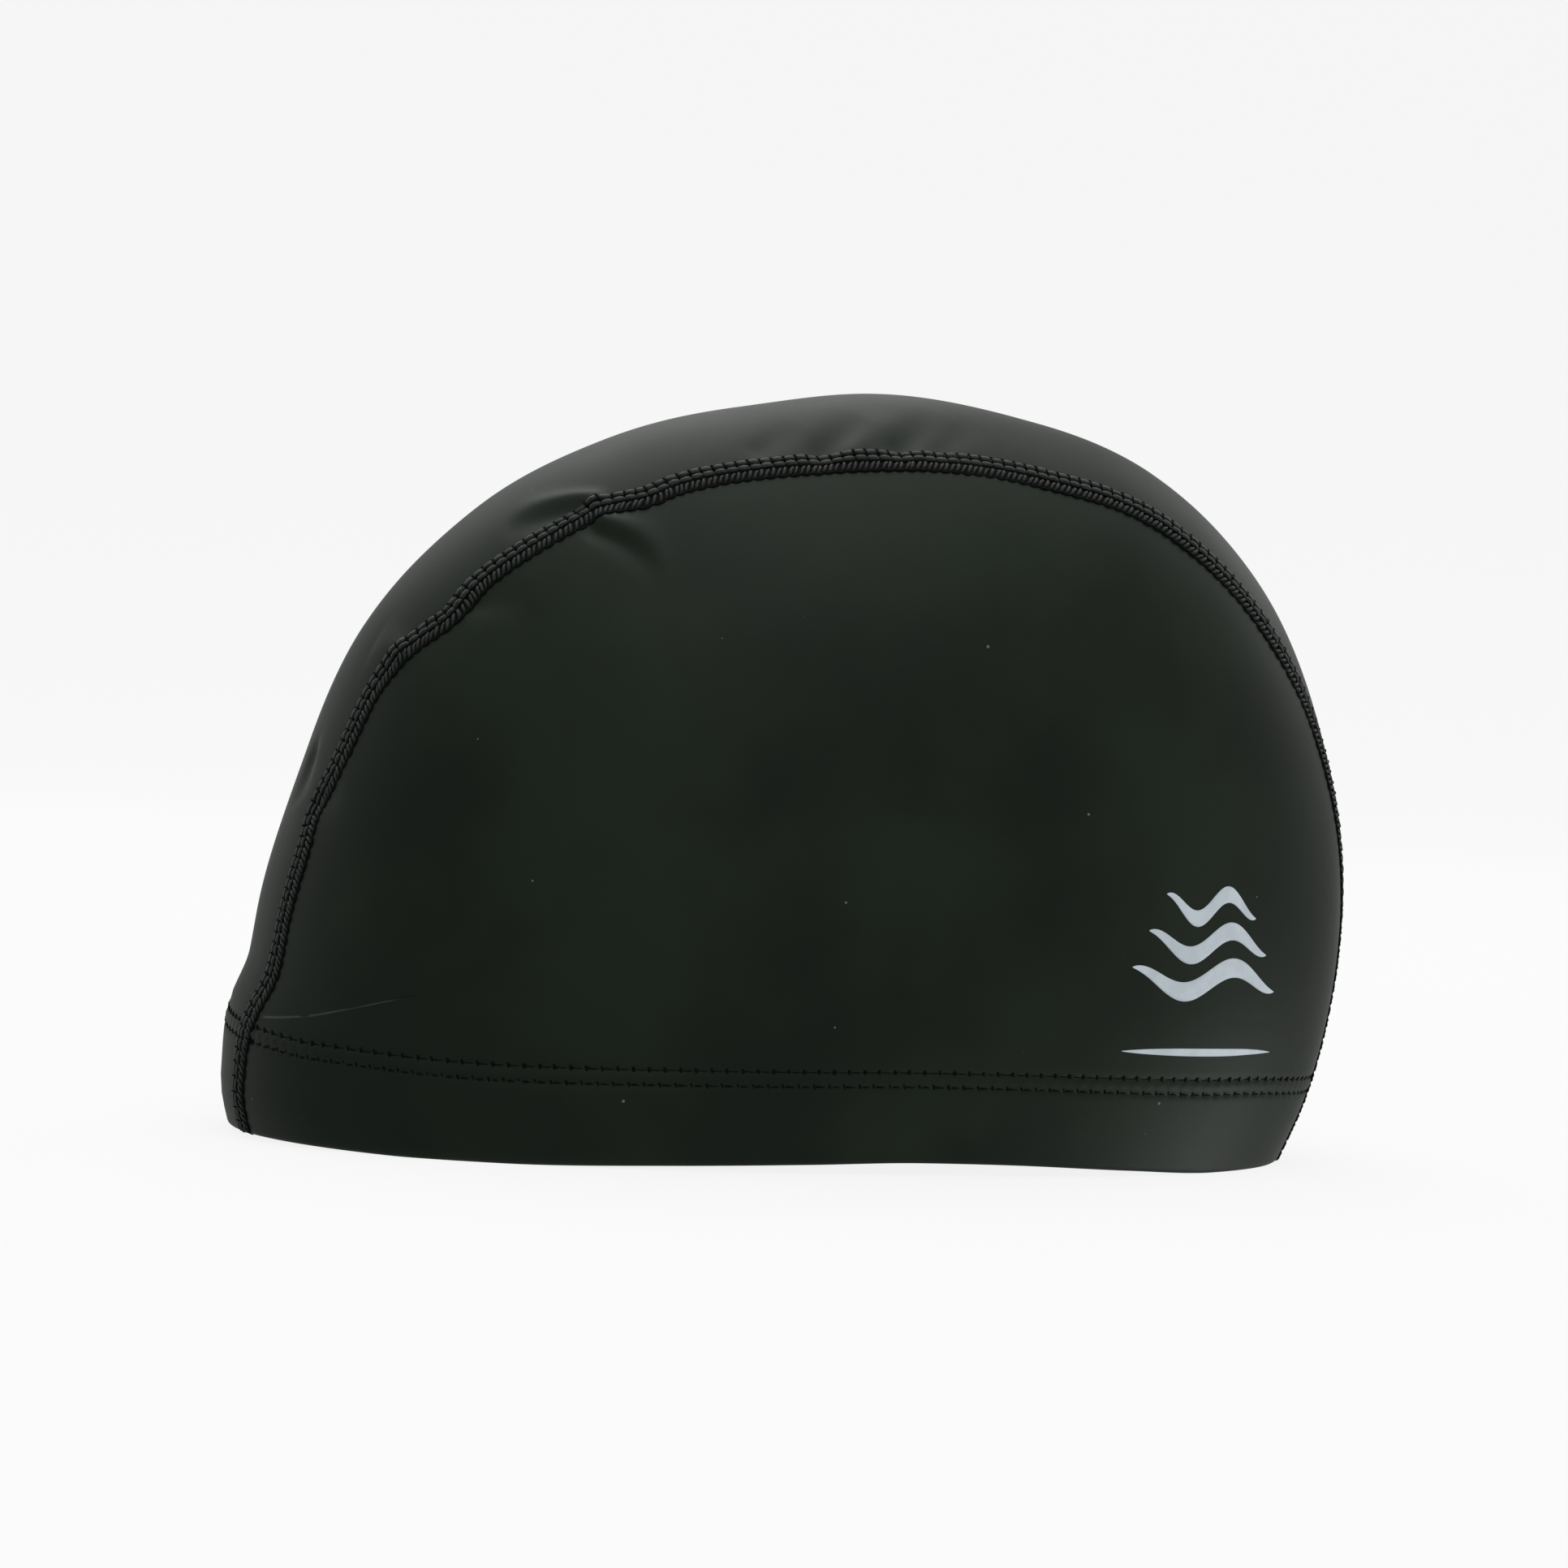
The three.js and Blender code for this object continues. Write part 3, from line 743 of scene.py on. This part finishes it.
# One stitch of a seam, as points of four numbers: place along in stitches, then in mm the distance in
# from the line, the height over the cloth and half the width
PUFF = arched((0.06, 2.1, -0.12, 0.4), (0.18, 2.12, 0.05, 0.66), (0.5, 2.14, 0.12, 0.74))
PLY = [
    (0.04, 0.42, 0.0, 0.4), (0.16, 0.42, 0.2, 0.64), (0.5, 0.41, 0.27, 0.7), (0.84, 0.4, 0.2, 0.64),
    (0.96, 0.38, 0.0, 0.4),
]
LOOP = [
    (0.02, -0.55, 0.0, 0.2), (0.12, -0.95, 0.22, 0.3), (0.2, -1.6, 0.28, 0.33), (0.34, -2.3, 0.24, 0.3),
    (0.5, -2.8, 0.06, 0.22),
]
CROSSING = [
    (0.42, -0.6, 0.0, 0.2), (0.52, -1.0, 0.2, 0.28), (0.7, -1.6, 0.3, 0.3), (0.8, -2.2, 0.22, 0.3),
    (1.02, -2.8, 0.06, 0.22),
]
INSIDE_ZIGZAG = [
    (0.0, -1.9, 0.2, 0.2), (0.2, -1.0, 0.5, 0.2), (0.45, 1.0, 0.5, 0.2), (0.55, 1.9, 0.25, 0.2),
    (0.75, 0.9, 0.5, 0.2), (1.0, -1.9, 0.2, 0.2),
]
INSIDE_NEEDLE = [
    (0.0, 1.2, 0.1, 0.19), (0.25, 1.25, 0.5, 0.19), (0.75, 1.25, 0.5, 0.19), (1.0, 1.2, 0.1, 0.19),
]
TICK = [
    (1.0, 1.2, 0.2, 0.1), (1.0, 1.7, 0.42, 0.13), (1.02, 2.4, 0.42, 0.13), (1.05, 2.95, 0.1, 0.11),
    (1.07, 3.15, -0.2, 0.08),
]
CROWN_NEEDLE = arched((0.0, 1.2, 0.0, 0.14), (0.2, 1.26, 0.24, 0.18), (0.5, 1.27, 0.28, 0.18))
MIDDLE_NEEDLE = arched((0.0, -0.5, 0.0, 0.13), (0.2, -0.45, 0.22, 0.17), (0.5, -0.42, 0.26, 0.17))
# EDGE is the scalloped thread along the band's outer edge; its near-black needle colour also stands in as
# painted shadow along that edge.
EDGE = arched((-0.04, -2.8, 0.0, 0.2), (0.2, -3.12, 0.12, 0.26), (0.5, -3.28, 0.14, 0.28))

# The threads of a seam: the shape of each, how flat it is, and whether it lies inside the cap
LOOPS = [
    (PUFF, 0.4, False), (PLY, 0.42, False), (LOOP, 0.7, False), (CROSSING, 0.7, False),
    (INSIDE_ZIGZAG, 1, True), (INSIDE_NEEDLE, 1, True),
]
LINES = [(TICK, 1, False), (CROWN_NEEDLE, 1, False), (MIDDLE_NEEDLE, 1, False), (EDGE, 0.8, False)]


# How much the stitches of a seam differ: along in stitches, then across in mm for a whole stitch and for
# each of its points, then as a share of the height and of the width
UNEVEN_SEAM = (0.03, 0.04, 0.02, 0.08, 0.07)


def seam_threads(side, name, threads, material):
    """Threads of one seam, each shape modelled once and copied along the seam with small differences."""
    uneven_along, uneven_stitch, uneven_point, uneven_height, uneven_width = UNEVEN_SEAM
    thread = settings()[1]
    seam = SEAMS[side]
    stitches = int(round(seam.length / thread.seam_stitch))
    random = np.random.default_rng(thread.seed + side)
    tangle = Tangle()
    for shape, flatness, inside in threads:
        place, across, height, half_width = np.array(shape).T
        first = np.arange(stitches)[:, None]
        drift = random.normal(0, uneven_along, (stitches, 1))
        along = np.clip((first + place + drift) / stitches * seam.length, 0, seam.length)
        across = across + random.normal(0, uneven_stitch, (stitches, 1))
        across = across + random.normal(0, uneven_point, (stitches, len(place)))
        height = height * (1 + random.normal(0, uneven_height, (stitches, 1)))
        bare = seam.beside(along, across * MM)
        bare[..., 2] = np.maximum(bare[..., 2], 0)
        fold = fold_depth(bare[..., 2])
        depth = height * MM + wall_at(bare[..., 2]) - fold if inside else fold - height * MM
        half_width = half_width * MM * (1 + random.normal(0, uneven_width, (stitches, 1)))
        tangle.add(*tubes(dress(bare, depth), unit(gradient(bare)), half_width * thread.thickness, flatness))
    return tangle.piece(name, material)


# A hem stitch: place along in stitches and, in mm, distance above the row, height over the cloth and half
# the width, first of the thread between two needle holes and then of the knot that fills a hole. The knot is
# thread, and its near-black colour also stands in as painted shade in the needle hole
HEM_THREAD = arched((0.0, 0.0, -0.1, 0.09), (0.12, 0.0, 0.0, 0.11), (0.5, 0.0, 0.03, 0.11))
HEM_KNOT_AND_HOLE_SHADE = [
    (0.03, -0.46, -0.05, 0.13), (0.02, -0.24, 0.06, 0.26), (0.0, 0.08, 0.1, 0.32), (-0.03, 0.4, 0.06, 0.26),
    (-0.07, 0.66, -0.04, 0.12),
]
# How much they differ: along in stitches, and as a share of the width
UNEVEN_HEM = (0.02, 0.12)
HEM_FLATNESS = 0.7
# The looping thread inside: how far up it is between the two rows at even steps, its depth and half its width
LOOPER_SWING = np.array([0, 0.12, 0.5, 0.88, 1.0, 0.88, 0.5, 0.12, 0])
LOOPER_DEPTH = 0.12 * MM
LOOPER_HALF_WIDTH = 0.19 * MM


def hem_threads(name, rows, material):
    """The two rows of stitches of one panel's hem, and the looping thread that holds them inside."""
    uneven_along, uneven_width = UNEVEN_HEM
    thread = settings()[1]
    random = np.random.default_rng(thread.seed + len(name))
    tangle = Tangle()
    for low, high in rows:
        for row in (low, high):
            first = np.arange(row.stitches)[:, None]
            # The knot's near-black colour is partly thread and partly painted shade of the needle hole.
            for shape in (HEM_THREAD, HEM_KNOT_AND_HOLE_SHADE):
                place, above, height, half_width = np.array(shape).T
                drift = random.normal(0, uneven_along, (row.stitches, 1))
                along = np.clip(first + place + drift, 0, row.stitches)
                bare = row.at(along)
                bare[..., 2] += above * MM
                sunk = hem_relief(bare, along)
                half_width = half_width * MM * (1 + random.normal(0, uneven_width, (row.stitches, 1)))
                paths = dress(settle(bare), sunk - height * MM)
                half_width = half_width * thread.thickness
                tangle.add(*tubes(paths, unit(gradient(bare)), half_width, HEM_FLATNESS))
        first = np.arange(low.stitches)[:, None]
        place = first + np.linspace(0, 1, len(LOOPER_SWING))
        from_low, from_high = low.at(place), high.at(place / low.stitches * high.stitches)
        bare = settle(from_low + (from_high - from_low) * LOOPER_SWING[:, None])
        paths = dress(bare, wall_at(bare[..., 2]) + LOOPER_DEPTH)
        tangle.add(*tubes(paths, unit(gradient(bare)), LOOPER_HALF_WIDTH * thread.thickness))
    return tangle.piece(name, material)


# The plain print: where its middle lies along and up the cap, and its lines in mm: middle height, length
# as a share of the longest wave's, thickest part, how far it swings up and down, and its swings
PRINT_MIDDLE = (66.3 * MM, 41.5 * MM)
PRINT_REACH = (20 * MM, 105 * MM)
PRINT_LINES = [
    (10.5, 0.62, 3.3, 2.3, 1.5), (3.5, 0.82, 3.6, 2.3, 1.5), (-3.5, 1.0, 3.9, 2.3, 1.5),
    (-17.5, 1.05, 1.5, 0, 1),
]
PRINT_STEPS = (121, 7)


def print_piece(material):
    """A film of ink over the cloth: three stacked tapering waves over one thin line."""
    size = settings()[2]
    long, high = PRINT_MIDDLE
    sunk = 0.04 * MM
    x = np.linspace(*PRINT_REACH, 400)
    bare = point_beside(x, np.full(400, high), LEFT)
    along = np.append(0, np.cumsum(np.linalg.norm(np.diff(bare, axis=0), axis=-1)))
    along -= np.interp(long, x, along)
    film = Tangle()
    share = np.linspace(-1, 1, PRINT_STEPS[0])
    across = np.linspace(-0.5, 0.5, PRINT_STEPS[1])
    taper = np.maximum(1 - np.abs(share) ** 2.4, 0) ** 0.8 * 0.98 + 0.02
    for height, length, thick, swing, swings in PRINT_LINES:
        line = height * MM + swing * MM * np.sin(share * np.pi * swings)
        u = share[:, None] * (length * size.width) / 2 + 0 * across
        v = line[:, None] + taper[:, None] * (thick * MM) * across
        here = point_beside(np.interp(u, along, x), high + v, LEFT)
        wave = wobble(here)
        top = dress(here, -size.film - wave).reshape(-1, 3)
        bottom = dress(here, sunk - wave).reshape(-1, 3)
        film.add(*close_sheet(top, bottom, grid_faces(*PRINT_STEPS).tolist()))
    return film.piece("plain_print", material, None)


# Shader maths


class Value:
    """A socket of a material under construction, which adds Math nodes when it is used in an expression."""

    def __init__(self, maker, socket):
        self.maker = maker
        self.socket = socket

    def math(self, operation, other):
        """A Math node with this value as its first input."""
        return self.maker.node("ShaderNodeMath", {"operation": operation}, {0: self, 1: other})

    def __add__(self, other):
        return self.math("ADD", other)

    def __mul__(self, other):
        return self.math("MULTIPLY", other)

    def __lt__(self, other):
        return self.math("LESS_THAN", other)

    __radd__ = __add__
    __rmul__ = __mul__


class Maker:
    """Builds one material's nodes."""

    def __init__(self, name, colour, **constants):
        self.material = bpy.data.materials.new(name)
        self.material.use_nodes = True
        self.tree = self.material.node_tree
        self.shader = self.tree.nodes["Principled BSDF"]
        self.colour = colour
        self.shader.inputs["Base Color"].default_value = (*colour, 1)
        for socket, value in constants.items():
            self.shader.inputs[socket.replace("_", " ").title().replace("Ior", "IOR")].default_value = value
        self.place = self.node("ShaderNodeTexCoord", {}, {}, "Object")

    def node(self, kind, options, values, output=0):
        """Adds a node: its settings first, then the values or links of its sockets."""
        made = self.tree.nodes.new(kind)
        for name, value in options.items():
            setattr(made, name, value)
        for name, value in values.items():
            socket = made.inputs[name]
            if isinstance(value, Value):
                self.tree.links.new(value.socket, socket)
            else:
                socket.default_value = value
        return Value(self, made.outputs[output])

    def noise(self, scale, detail=2.0, roughness=0.5):
        """Noise from 0 to 1 at a scale per metre."""
        values = {"Vector": self.place, "Scale": scale, "Detail": detail, "Roughness": roughness}
        return self.node("ShaderNodeTexNoise", {}, values)

    def ramp(self, value, low, high):
        """0 where the value is at most low, 1 where it is at least high, smooth between."""
        options = {"interpolation_type": "SMOOTHSTEP"}
        return self.node("ShaderNodeMapRange", options, {"Value": value, "From Min": low, "From Max": high})

    def mix(self, share, first, second):
        """A colour between two colours."""
        made = self.tree.nodes.new("ShaderNodeMix")
        made.data_type = "RGBA"
        for name, value in (("Factor_Float", share), ("A_Color", first), ("B_Color", second)):
            socket = next(s for s in made.inputs if s.identifier == name)
            if isinstance(value, Value):
                self.tree.links.new(value.socket, socket)
            else:
                socket.default_value = value if isinstance(value, float) else (*value, 1)
        return Value(self, next(s for s in made.outputs if s.identifier == "Result_Color"))

    def shade(self, times):
        """The material's own colour, made so many times as light."""
        return tuple(min(times * part, 1) for part in self.colour)

    def mottled(self, value, low, high, darkest, lightest):
        """The material's own colour, from darkest to lightest as the value goes from low to high."""
        return self.mix(self.ramp(value, low, high), self.shade(darkest), self.shade(lightest))

    def feed(self, socket, value):
        """Links a value to a socket of the shader."""
        self.tree.links.new(value.socket, self.shader.inputs[socket])

    def bumps(self, height, distance, strength):
        """Feeds a height to the shader's normal through a Bump node."""
        values = {"Height": height, "Distance": distance, "Strength": strength}
        self.feed("Normal", self.node("ShaderNodeBump", {}, values))


def split(maker, vector):
    """The three parts of a vector."""
    made = maker.tree.nodes.new("ShaderNodeSeparateXYZ")
    maker.tree.links.new(vector.socket, made.inputs[0])
    return [Value(maker, socket) for socket in made.outputs]


def specks(maker, size, spacing, share):
    """Small round specks: 1 on a speck and 0 elsewhere. A share of the cells of that spacing has one."""
    made = maker.tree.nodes.new("ShaderNodeTexVoronoi")
    maker.tree.links.new(maker.place.socket, made.inputs["Vector"])
    made.inputs["Scale"].default_value = 1 / spacing
    distance = Value(maker, made.outputs["Distance"])
    chance = split(maker, Value(maker, made.outputs["Color"]))[0]
    return (distance < size / spacing) * (chance < share)


# Size and spacing of the specks of dust, in metres
FINE_SPECKS = (0.00018, 0.0031)
LARGE_SPECKS = (0.0003, 0.0095)
# The dust's colour, and how far from a dusty place it is gone and thickest
DUST_COLOUR = (0.28, 0.29, 0.28)
DUSTY_REACH = (0.030, 0.004)


def cloth_material(name, colour, dusty_place, specks_share):
    """Coated stretch cloth: matt, near-black and very fine in grain, with a few specks of dust."""
    cloth = settings()[0]
    maker = Maker(
        name, colour, roughness=0.46, specular_ior_level=0.2, sheen_weight=0.11, sheen_roughness=0.22
    )
    maker.shader.inputs["Sheen Tint"].default_value = (0.72, 0.82, 0.74, 1)
    maker.shader.inputs["Specular Tint"].default_value = (0.9, 1, 0.9, 1)
    x, y, z = split(maker, maker.place)
    cloudy = maker.noise(28, 3)
    grain = maker.noise(1900, 2, 0.6)
    weave = maker.noise(620, 1.5)
    tone = maker.mottled(cloudy, 0.3, 0.7, 0.75, 1.35)
    worn = maker.ramp(z, 0.0025, 0.0) * maker.noise(300, 2)
    tone = maker.mix(worn * 0.5, tone, maker.shade(2.6))
    ends = {0: maker.place, 1: dusty_place}
    near = maker.node("ShaderNodeVectorMath", {"operation": "DISTANCE"}, ends, "Value")
    dusty = maker.ramp(near, *DUSTY_REACH)
    fine = specks(maker, *FINE_SPECKS, dusty * 0.5 + specks_share)
    large = specks(maker, *LARGE_SPECKS, specks_share * 3)
    dust = fine.math("MAXIMUM", large) * cloth.dust
    maker.feed("Base Color", maker.mix(dust * 0.6, tone, DUST_COLOUR))
    maker.feed("Roughness", maker.ramp(cloudy + grain * 0.4, 0.2, 1.2) * 0.12 + 0.42 + dust * 0.3)
    maker.bumps(grain * 0.5 + weave * 0.5, 0.00004, 0.35)
    return maker.material


def loop_material(name, colour):
    """Soft covering thread: satin, with the fine lines of its plies."""
    maker = Maker(
        name, colour, roughness=0.55, specular_ior_level=0.3, sheen_weight=0.15, sheen_roughness=0.4
    )
    tint = maker.noise(1100, 2)
    maker.feed("Base Color", maker.mottled(tint, 0.35, 0.68, 0.35, 1.9))
    maker.feed("Roughness", maker.ramp(tint, 0.2, 0.8) * 0.2 + 0.45)
    maker.bumps(maker.noise(3800, 2), 0.0001, 0.7)
    return maker.material


def needle_material(name, colour):
    """Tight black sewing thread, sunk in the cloth: matt, with a few paler fibres. On the hem's knots and the
    seams' edge thread its near-black is also painted shade.
    """
    maker = Maker(name, colour, roughness=0.8, specular_ior_level=0.08)
    tint = maker.noise(2600, 2)
    maker.feed("Base Color", maker.mottled(tint, 0.5, 0.8, 1, 3))
    maker.bumps(maker.noise(5200, 1), 0.00008, 0.5)
    return maker.material


def shaded_band_material(name, colour):
    """The thread mat between the threads: rough, and darker than the threads as painted shade in the gaps
    between them.
    """
    maker = Maker(name, colour, roughness=0.85, specular_ior_level=0.08)
    lines = maker.noise(2400, 2)
    maker.feed("Base Color", maker.mottled(lines, 0.4, 0.75, 1, 2.2))
    maker.bumps(lines, 0.0001, 0.7)
    return maker.material


def print_material(name, colour):
    """Silver-grey ink with a slight mottle."""
    maker = Maker(name, colour, roughness=0.5, specular_ior_level=0.4)
    blotches = maker.noise(240, 3)
    maker.feed("Base Color", maker.mottled(blotches, 0.3, 0.7, 0.93, 1.06))
    maker.feed("Roughness", blotches * 0.15 + 0.42)
    maker.bumps(maker.noise(1500, 2), 0.00003, 0.3)
    return maker.material


def needle_thread():
    """Material of the sunken threads of the seams and the hem, made once."""
    name = "needle_thread"
    return bpy.data.materials.get(name) or needle_material(name, settings()[1].needle_and_shade_colour)


class SWIMCAP_OT_stage(bpy.types.Operator):
    """Add the floor, the lights and the camera"""

    bl_idname = "swimcap.stage"
    bl_label = "Stage"

    def execute(self, context):
        """Models the bowl-shaped floor and places the lights and the camera."""
        stage = settings()[3]
        self.add_bowl(stage)
        self.add_lights(stage)
        self.add_camera()
        context.scene.view_settings.view_transform = "Standard"
        return {"FINISHED"}

    def add_bowl(self, stage):
        """A round pale floor that curves up into a backdrop all round."""
        floor_radius, curve, wall, steps = 1.6, 1.2, 1.8, 12
        bpy.ops.object.select_all(action="DESELECT")
        bpy.ops.mesh.primitive_circle_add(
            vertices=128, radius=floor_radius, fill_type="TRIFAN", location=(0, 0, 0)
        )
        bowl = bpy.context.object
        bowl.name = "backdrop"
        bpy.ops.object.mode_set(mode="EDIT")
        bpy.ops.mesh.select_mode(type="EDGE")
        bpy.ops.mesh.select_all(action="DESELECT")
        bpy.ops.mesh.select_non_manifold()
        radius, height = floor_radius, 0.0
        for step in range(1, steps + 1):
            angle = step / steps * math.pi / 2
            wider = floor_radius + curve * math.sin(angle)
            higher = curve * (1 - math.cos(angle))
            growth = wider / radius
            bpy.ops.mesh.extrude_region_move(TRANSFORM_OT_translate={"value": (0, 0, higher - height)})
            bpy.ops.transform.resize(value=(growth, growth, 1), center_override=(0, 0, higher))
            radius, height = wider, higher
        bpy.ops.mesh.extrude_region_move(TRANSFORM_OT_translate={"value": (0, 0, wall)})
        bpy.ops.object.mode_set(mode="OBJECT")
        bpy.ops.object.shade_smooth()
        maker = Maker("pale_backdrop", (0.12, 0.12, 0.12), roughness=1.0, specular_ior_level=0.0)
        maker.shader.inputs["Emission Color"].default_value = (1, 1, 1, 1)
        maker.shader.inputs["Emission Strength"].default_value = stage.floor_tone * 0.93
        bowl.data.materials.append(maker.material)
        bowl.visible_diffuse = False
        bowl.visible_glossy = False
        bowl.visible_shadow = False

    def add_lights(self, stage):
        """Large soft lights above, weak ones in front and below, and an even grey surround."""
        middle = (0, 0, 0.06)
        lights = [
            ("top_light", (0.1, 0.35, 1.5), 1.5, 5.9),
            ("front_top_light", (0, -0.7, 1.4), 1.0, 3.7),
            ("back_top_light", (0, 1.2, 1.2), 1.2, 4.7),
            ("nape_light", (1.15, -0.8, 0.3), 0.8, 0.6),
            ("front_light", (-0.3, -1.4, 0.2), 1.0, 0.9),
            ("low_nape_light", (0.9, -0.2, -0.5), 0.5, 2.6),
            ("back_nape_light", (1.3, 0.9, 0.9), 1.0, 2.6),
        ]
        for name, place, size, power in lights:
            light = bpy.data.lights.new(name, "AREA")
            light.shape = "SQUARE"
            light.size = size
            light.energy = power * stage.light
            holder = bpy.data.objects.new(name, light)
            bpy.context.scene.collection.objects.link(holder)
            way = Vector(middle) - Vector(place)
            holder.rotation_mode = "QUATERNION"
            holder.rotation_quaternion = way.to_track_quat("-Z", "Y")
            holder.location = place
            holder.visible_camera = False
        world = bpy.data.worlds.new("surround")
        world.use_nodes = True
        background = world.node_tree.nodes["Background"]
        background.inputs["Color"].default_value = (1, 1, 1, 1)
        background.inputs["Strength"].default_value = 0.39 * stage.light
        bpy.context.scene.world = world

    def add_camera(self):
        """The camera at the photograph's angle, a little above the floor."""
        azimuth, elevation, roll = math.radians(-15.4), math.radians(1.95), math.radians(2.54)
        distance = 1.2
        target = Vector((-0.0028, 0, 0.0703))
        back = Vector((
            math.sin(azimuth) * math.cos(elevation),
            -math.cos(azimuth) * math.cos(elevation),
            math.sin(elevation),
        ))
        camera = bpy.data.objects.new("camera", bpy.data.cameras.new("camera"))
        bpy.context.scene.collection.objects.link(camera)
        camera.data.lens = 140.9
        camera.data.sensor_width = 36
        camera.rotation_mode = "QUATERNION"
        camera.location = target + back * distance
        turned = (-back).to_track_quat("-Z", "Y").to_matrix().to_4x4() @ Matrix.Rotation(roll, 4, "Z")
        camera.rotation_quaternion = turned.to_quaternion()
        bpy.context.scene.camera = camera


class SWIMCAP_OT_panels(bpy.types.Operator):
    """Add the two side panels and the centre panel"""

    bl_idname = "swimcap.panels"
    bl_label = "Cloth panels"

    def execute(self, context):
        """Builds each panel as one closed sheet."""
        cloth = settings()[0]
        nowhere = (0.5, 0.5, 0.5)
        low_on_the_brow = (-0.1035, -0.004, 0.042)
        side_cloth = cloth_material("side_panel_cloth", cloth.side_colour, nowhere, 0.035)
        centre_cloth = cloth_material("centre_panel_cloth", cloth.centre_colour, low_on_the_brow, 0.09)
        for side in (LEFT, RIGHT):
            SEAMS[side] = SeamLine(side)
        for side in (LEFT, RIGHT):
            piece = side_piece(side, side_cloth)
        centre = centre_piece(centre_cloth)
        return {"FINISHED"}


class SWIMCAP_OT_seams(bpy.types.Operator):
    """Add the two flatlock seams"""

    bl_idname = "swimcap.seams"
    bl_label = "Seams"

    def execute(self, context):
        """Builds each seam's band and its threads."""
        thread = settings()[1]
        # The thread mat is coloured near-black as painted shade between the threads.
        mat = shaded_band_material("thread_mat_painted_shade", thread.needle_and_shade_colour)
        loops = loop_material("loop_thread", thread.loop_colour)
        for side in (LEFT, RIGHT):
            seam_band(side, mat)
            seam_threads(side, f"{SIDE_NAMES[side]}_seam_loops", LOOPS, loops)
            # The needle lines include the edge thread, whose near-black colour is partly painted shadow along
            # the seam's edge.
            seam_threads(side, f"{SIDE_NAMES[side]}_seam_needle_lines_and_edge_shadow", LINES, needle_thread())
        return {"FINISHED"}


class SWIMCAP_OT_hem(bpy.types.Operator):
    """Add the two rows of stitches round the hem"""

    bl_idname = "swimcap.hem"
    bl_label = "Hem stitches"

    def execute(self, context):
        """Sews each panel's hem."""
        inset = 2.2 * MM
        for side in (LEFT, RIGHT):
            rows = [[side_row(side, height, inset) for height in STITCH_HEIGHTS]]
            hem_threads(f"{SIDE_NAMES[side]}_hem_stitches", rows, needle_thread())
        rows = [[centre_row(brow, height, inset) for height in STITCH_HEIGHTS] for brow in (True, False)]
        hem_threads("centre_hem_stitches", rows, needle_thread())
        return {"FINISHED"}


class SWIMCAP_OT_print(bpy.types.Operator):
    """Add the plain wave print near the nape"""

    bl_idname = "swimcap.print"
    bl_label = "Print"

    def execute(self, context):
        """Lays the film of ink on the left side panel."""
        print_piece(print_material("silver_print", settings()[2].colour))
        return {"FINISHED"}


class SWIMCAP_PT_sidebar(bpy.types.Panel):
    """Sizes, colours and steps of the swim cap"""

    bl_idname = "SWIMCAP_PT_sidebar"
    bl_label = "Swim Cap"
    bl_space_type = "VIEW_3D"
    bl_region_type = "UI"
    bl_category = "Swim Cap"

    def draw(self, context):
        """Lists the settings and one button for each operator."""
        for group in settings():
            column = self.layout.column(align=True)
            for name in group.bl_rna.properties.keys():
                if name not in ("rna_type", "name"):
                    column.prop(group, name)
        for operator in OPERATORS:
            self.layout.operator(operator.bl_idname)


GROUPS = {
    "swim_cap_cloth": SwimCapCloth,
    "swim_cap_thread": SwimCapThread,
    "swim_cap_print": SwimCapPrint,
    "swim_cap_stage": SwimCapStage,
}
OPERATORS = [SWIMCAP_OT_stage, SWIMCAP_OT_panels, SWIMCAP_OT_seams, SWIMCAP_OT_hem, SWIMCAP_OT_print]


def register():
    """Registers the settings, the operators and the panel."""
    for kind in (*GROUPS.values(), *OPERATORS, SWIMCAP_PT_sidebar):
        bpy.utils.register_class(kind)
    for name, kind in GROUPS.items():
        setattr(bpy.types.Scene, name, PointerProperty(type=kind))


def unregister():
    """Takes them away again."""
    for name in GROUPS:
        delattr(bpy.types.Scene, name)
    for kind in (SWIMCAP_PT_sidebar, *reversed(OPERATORS), *reversed(list(GROUPS.values()))):
        bpy.utils.unregister_class(kind)


def main():
    """Builds the whole scene."""
    register()
    bpy.ops.swimcap.stage()
    bpy.ops.swimcap.panels()
    bpy.ops.swimcap.seams()
    bpy.ops.swimcap.hem()
    bpy.ops.swimcap.print()


if __name__ == "__main__":
    main()
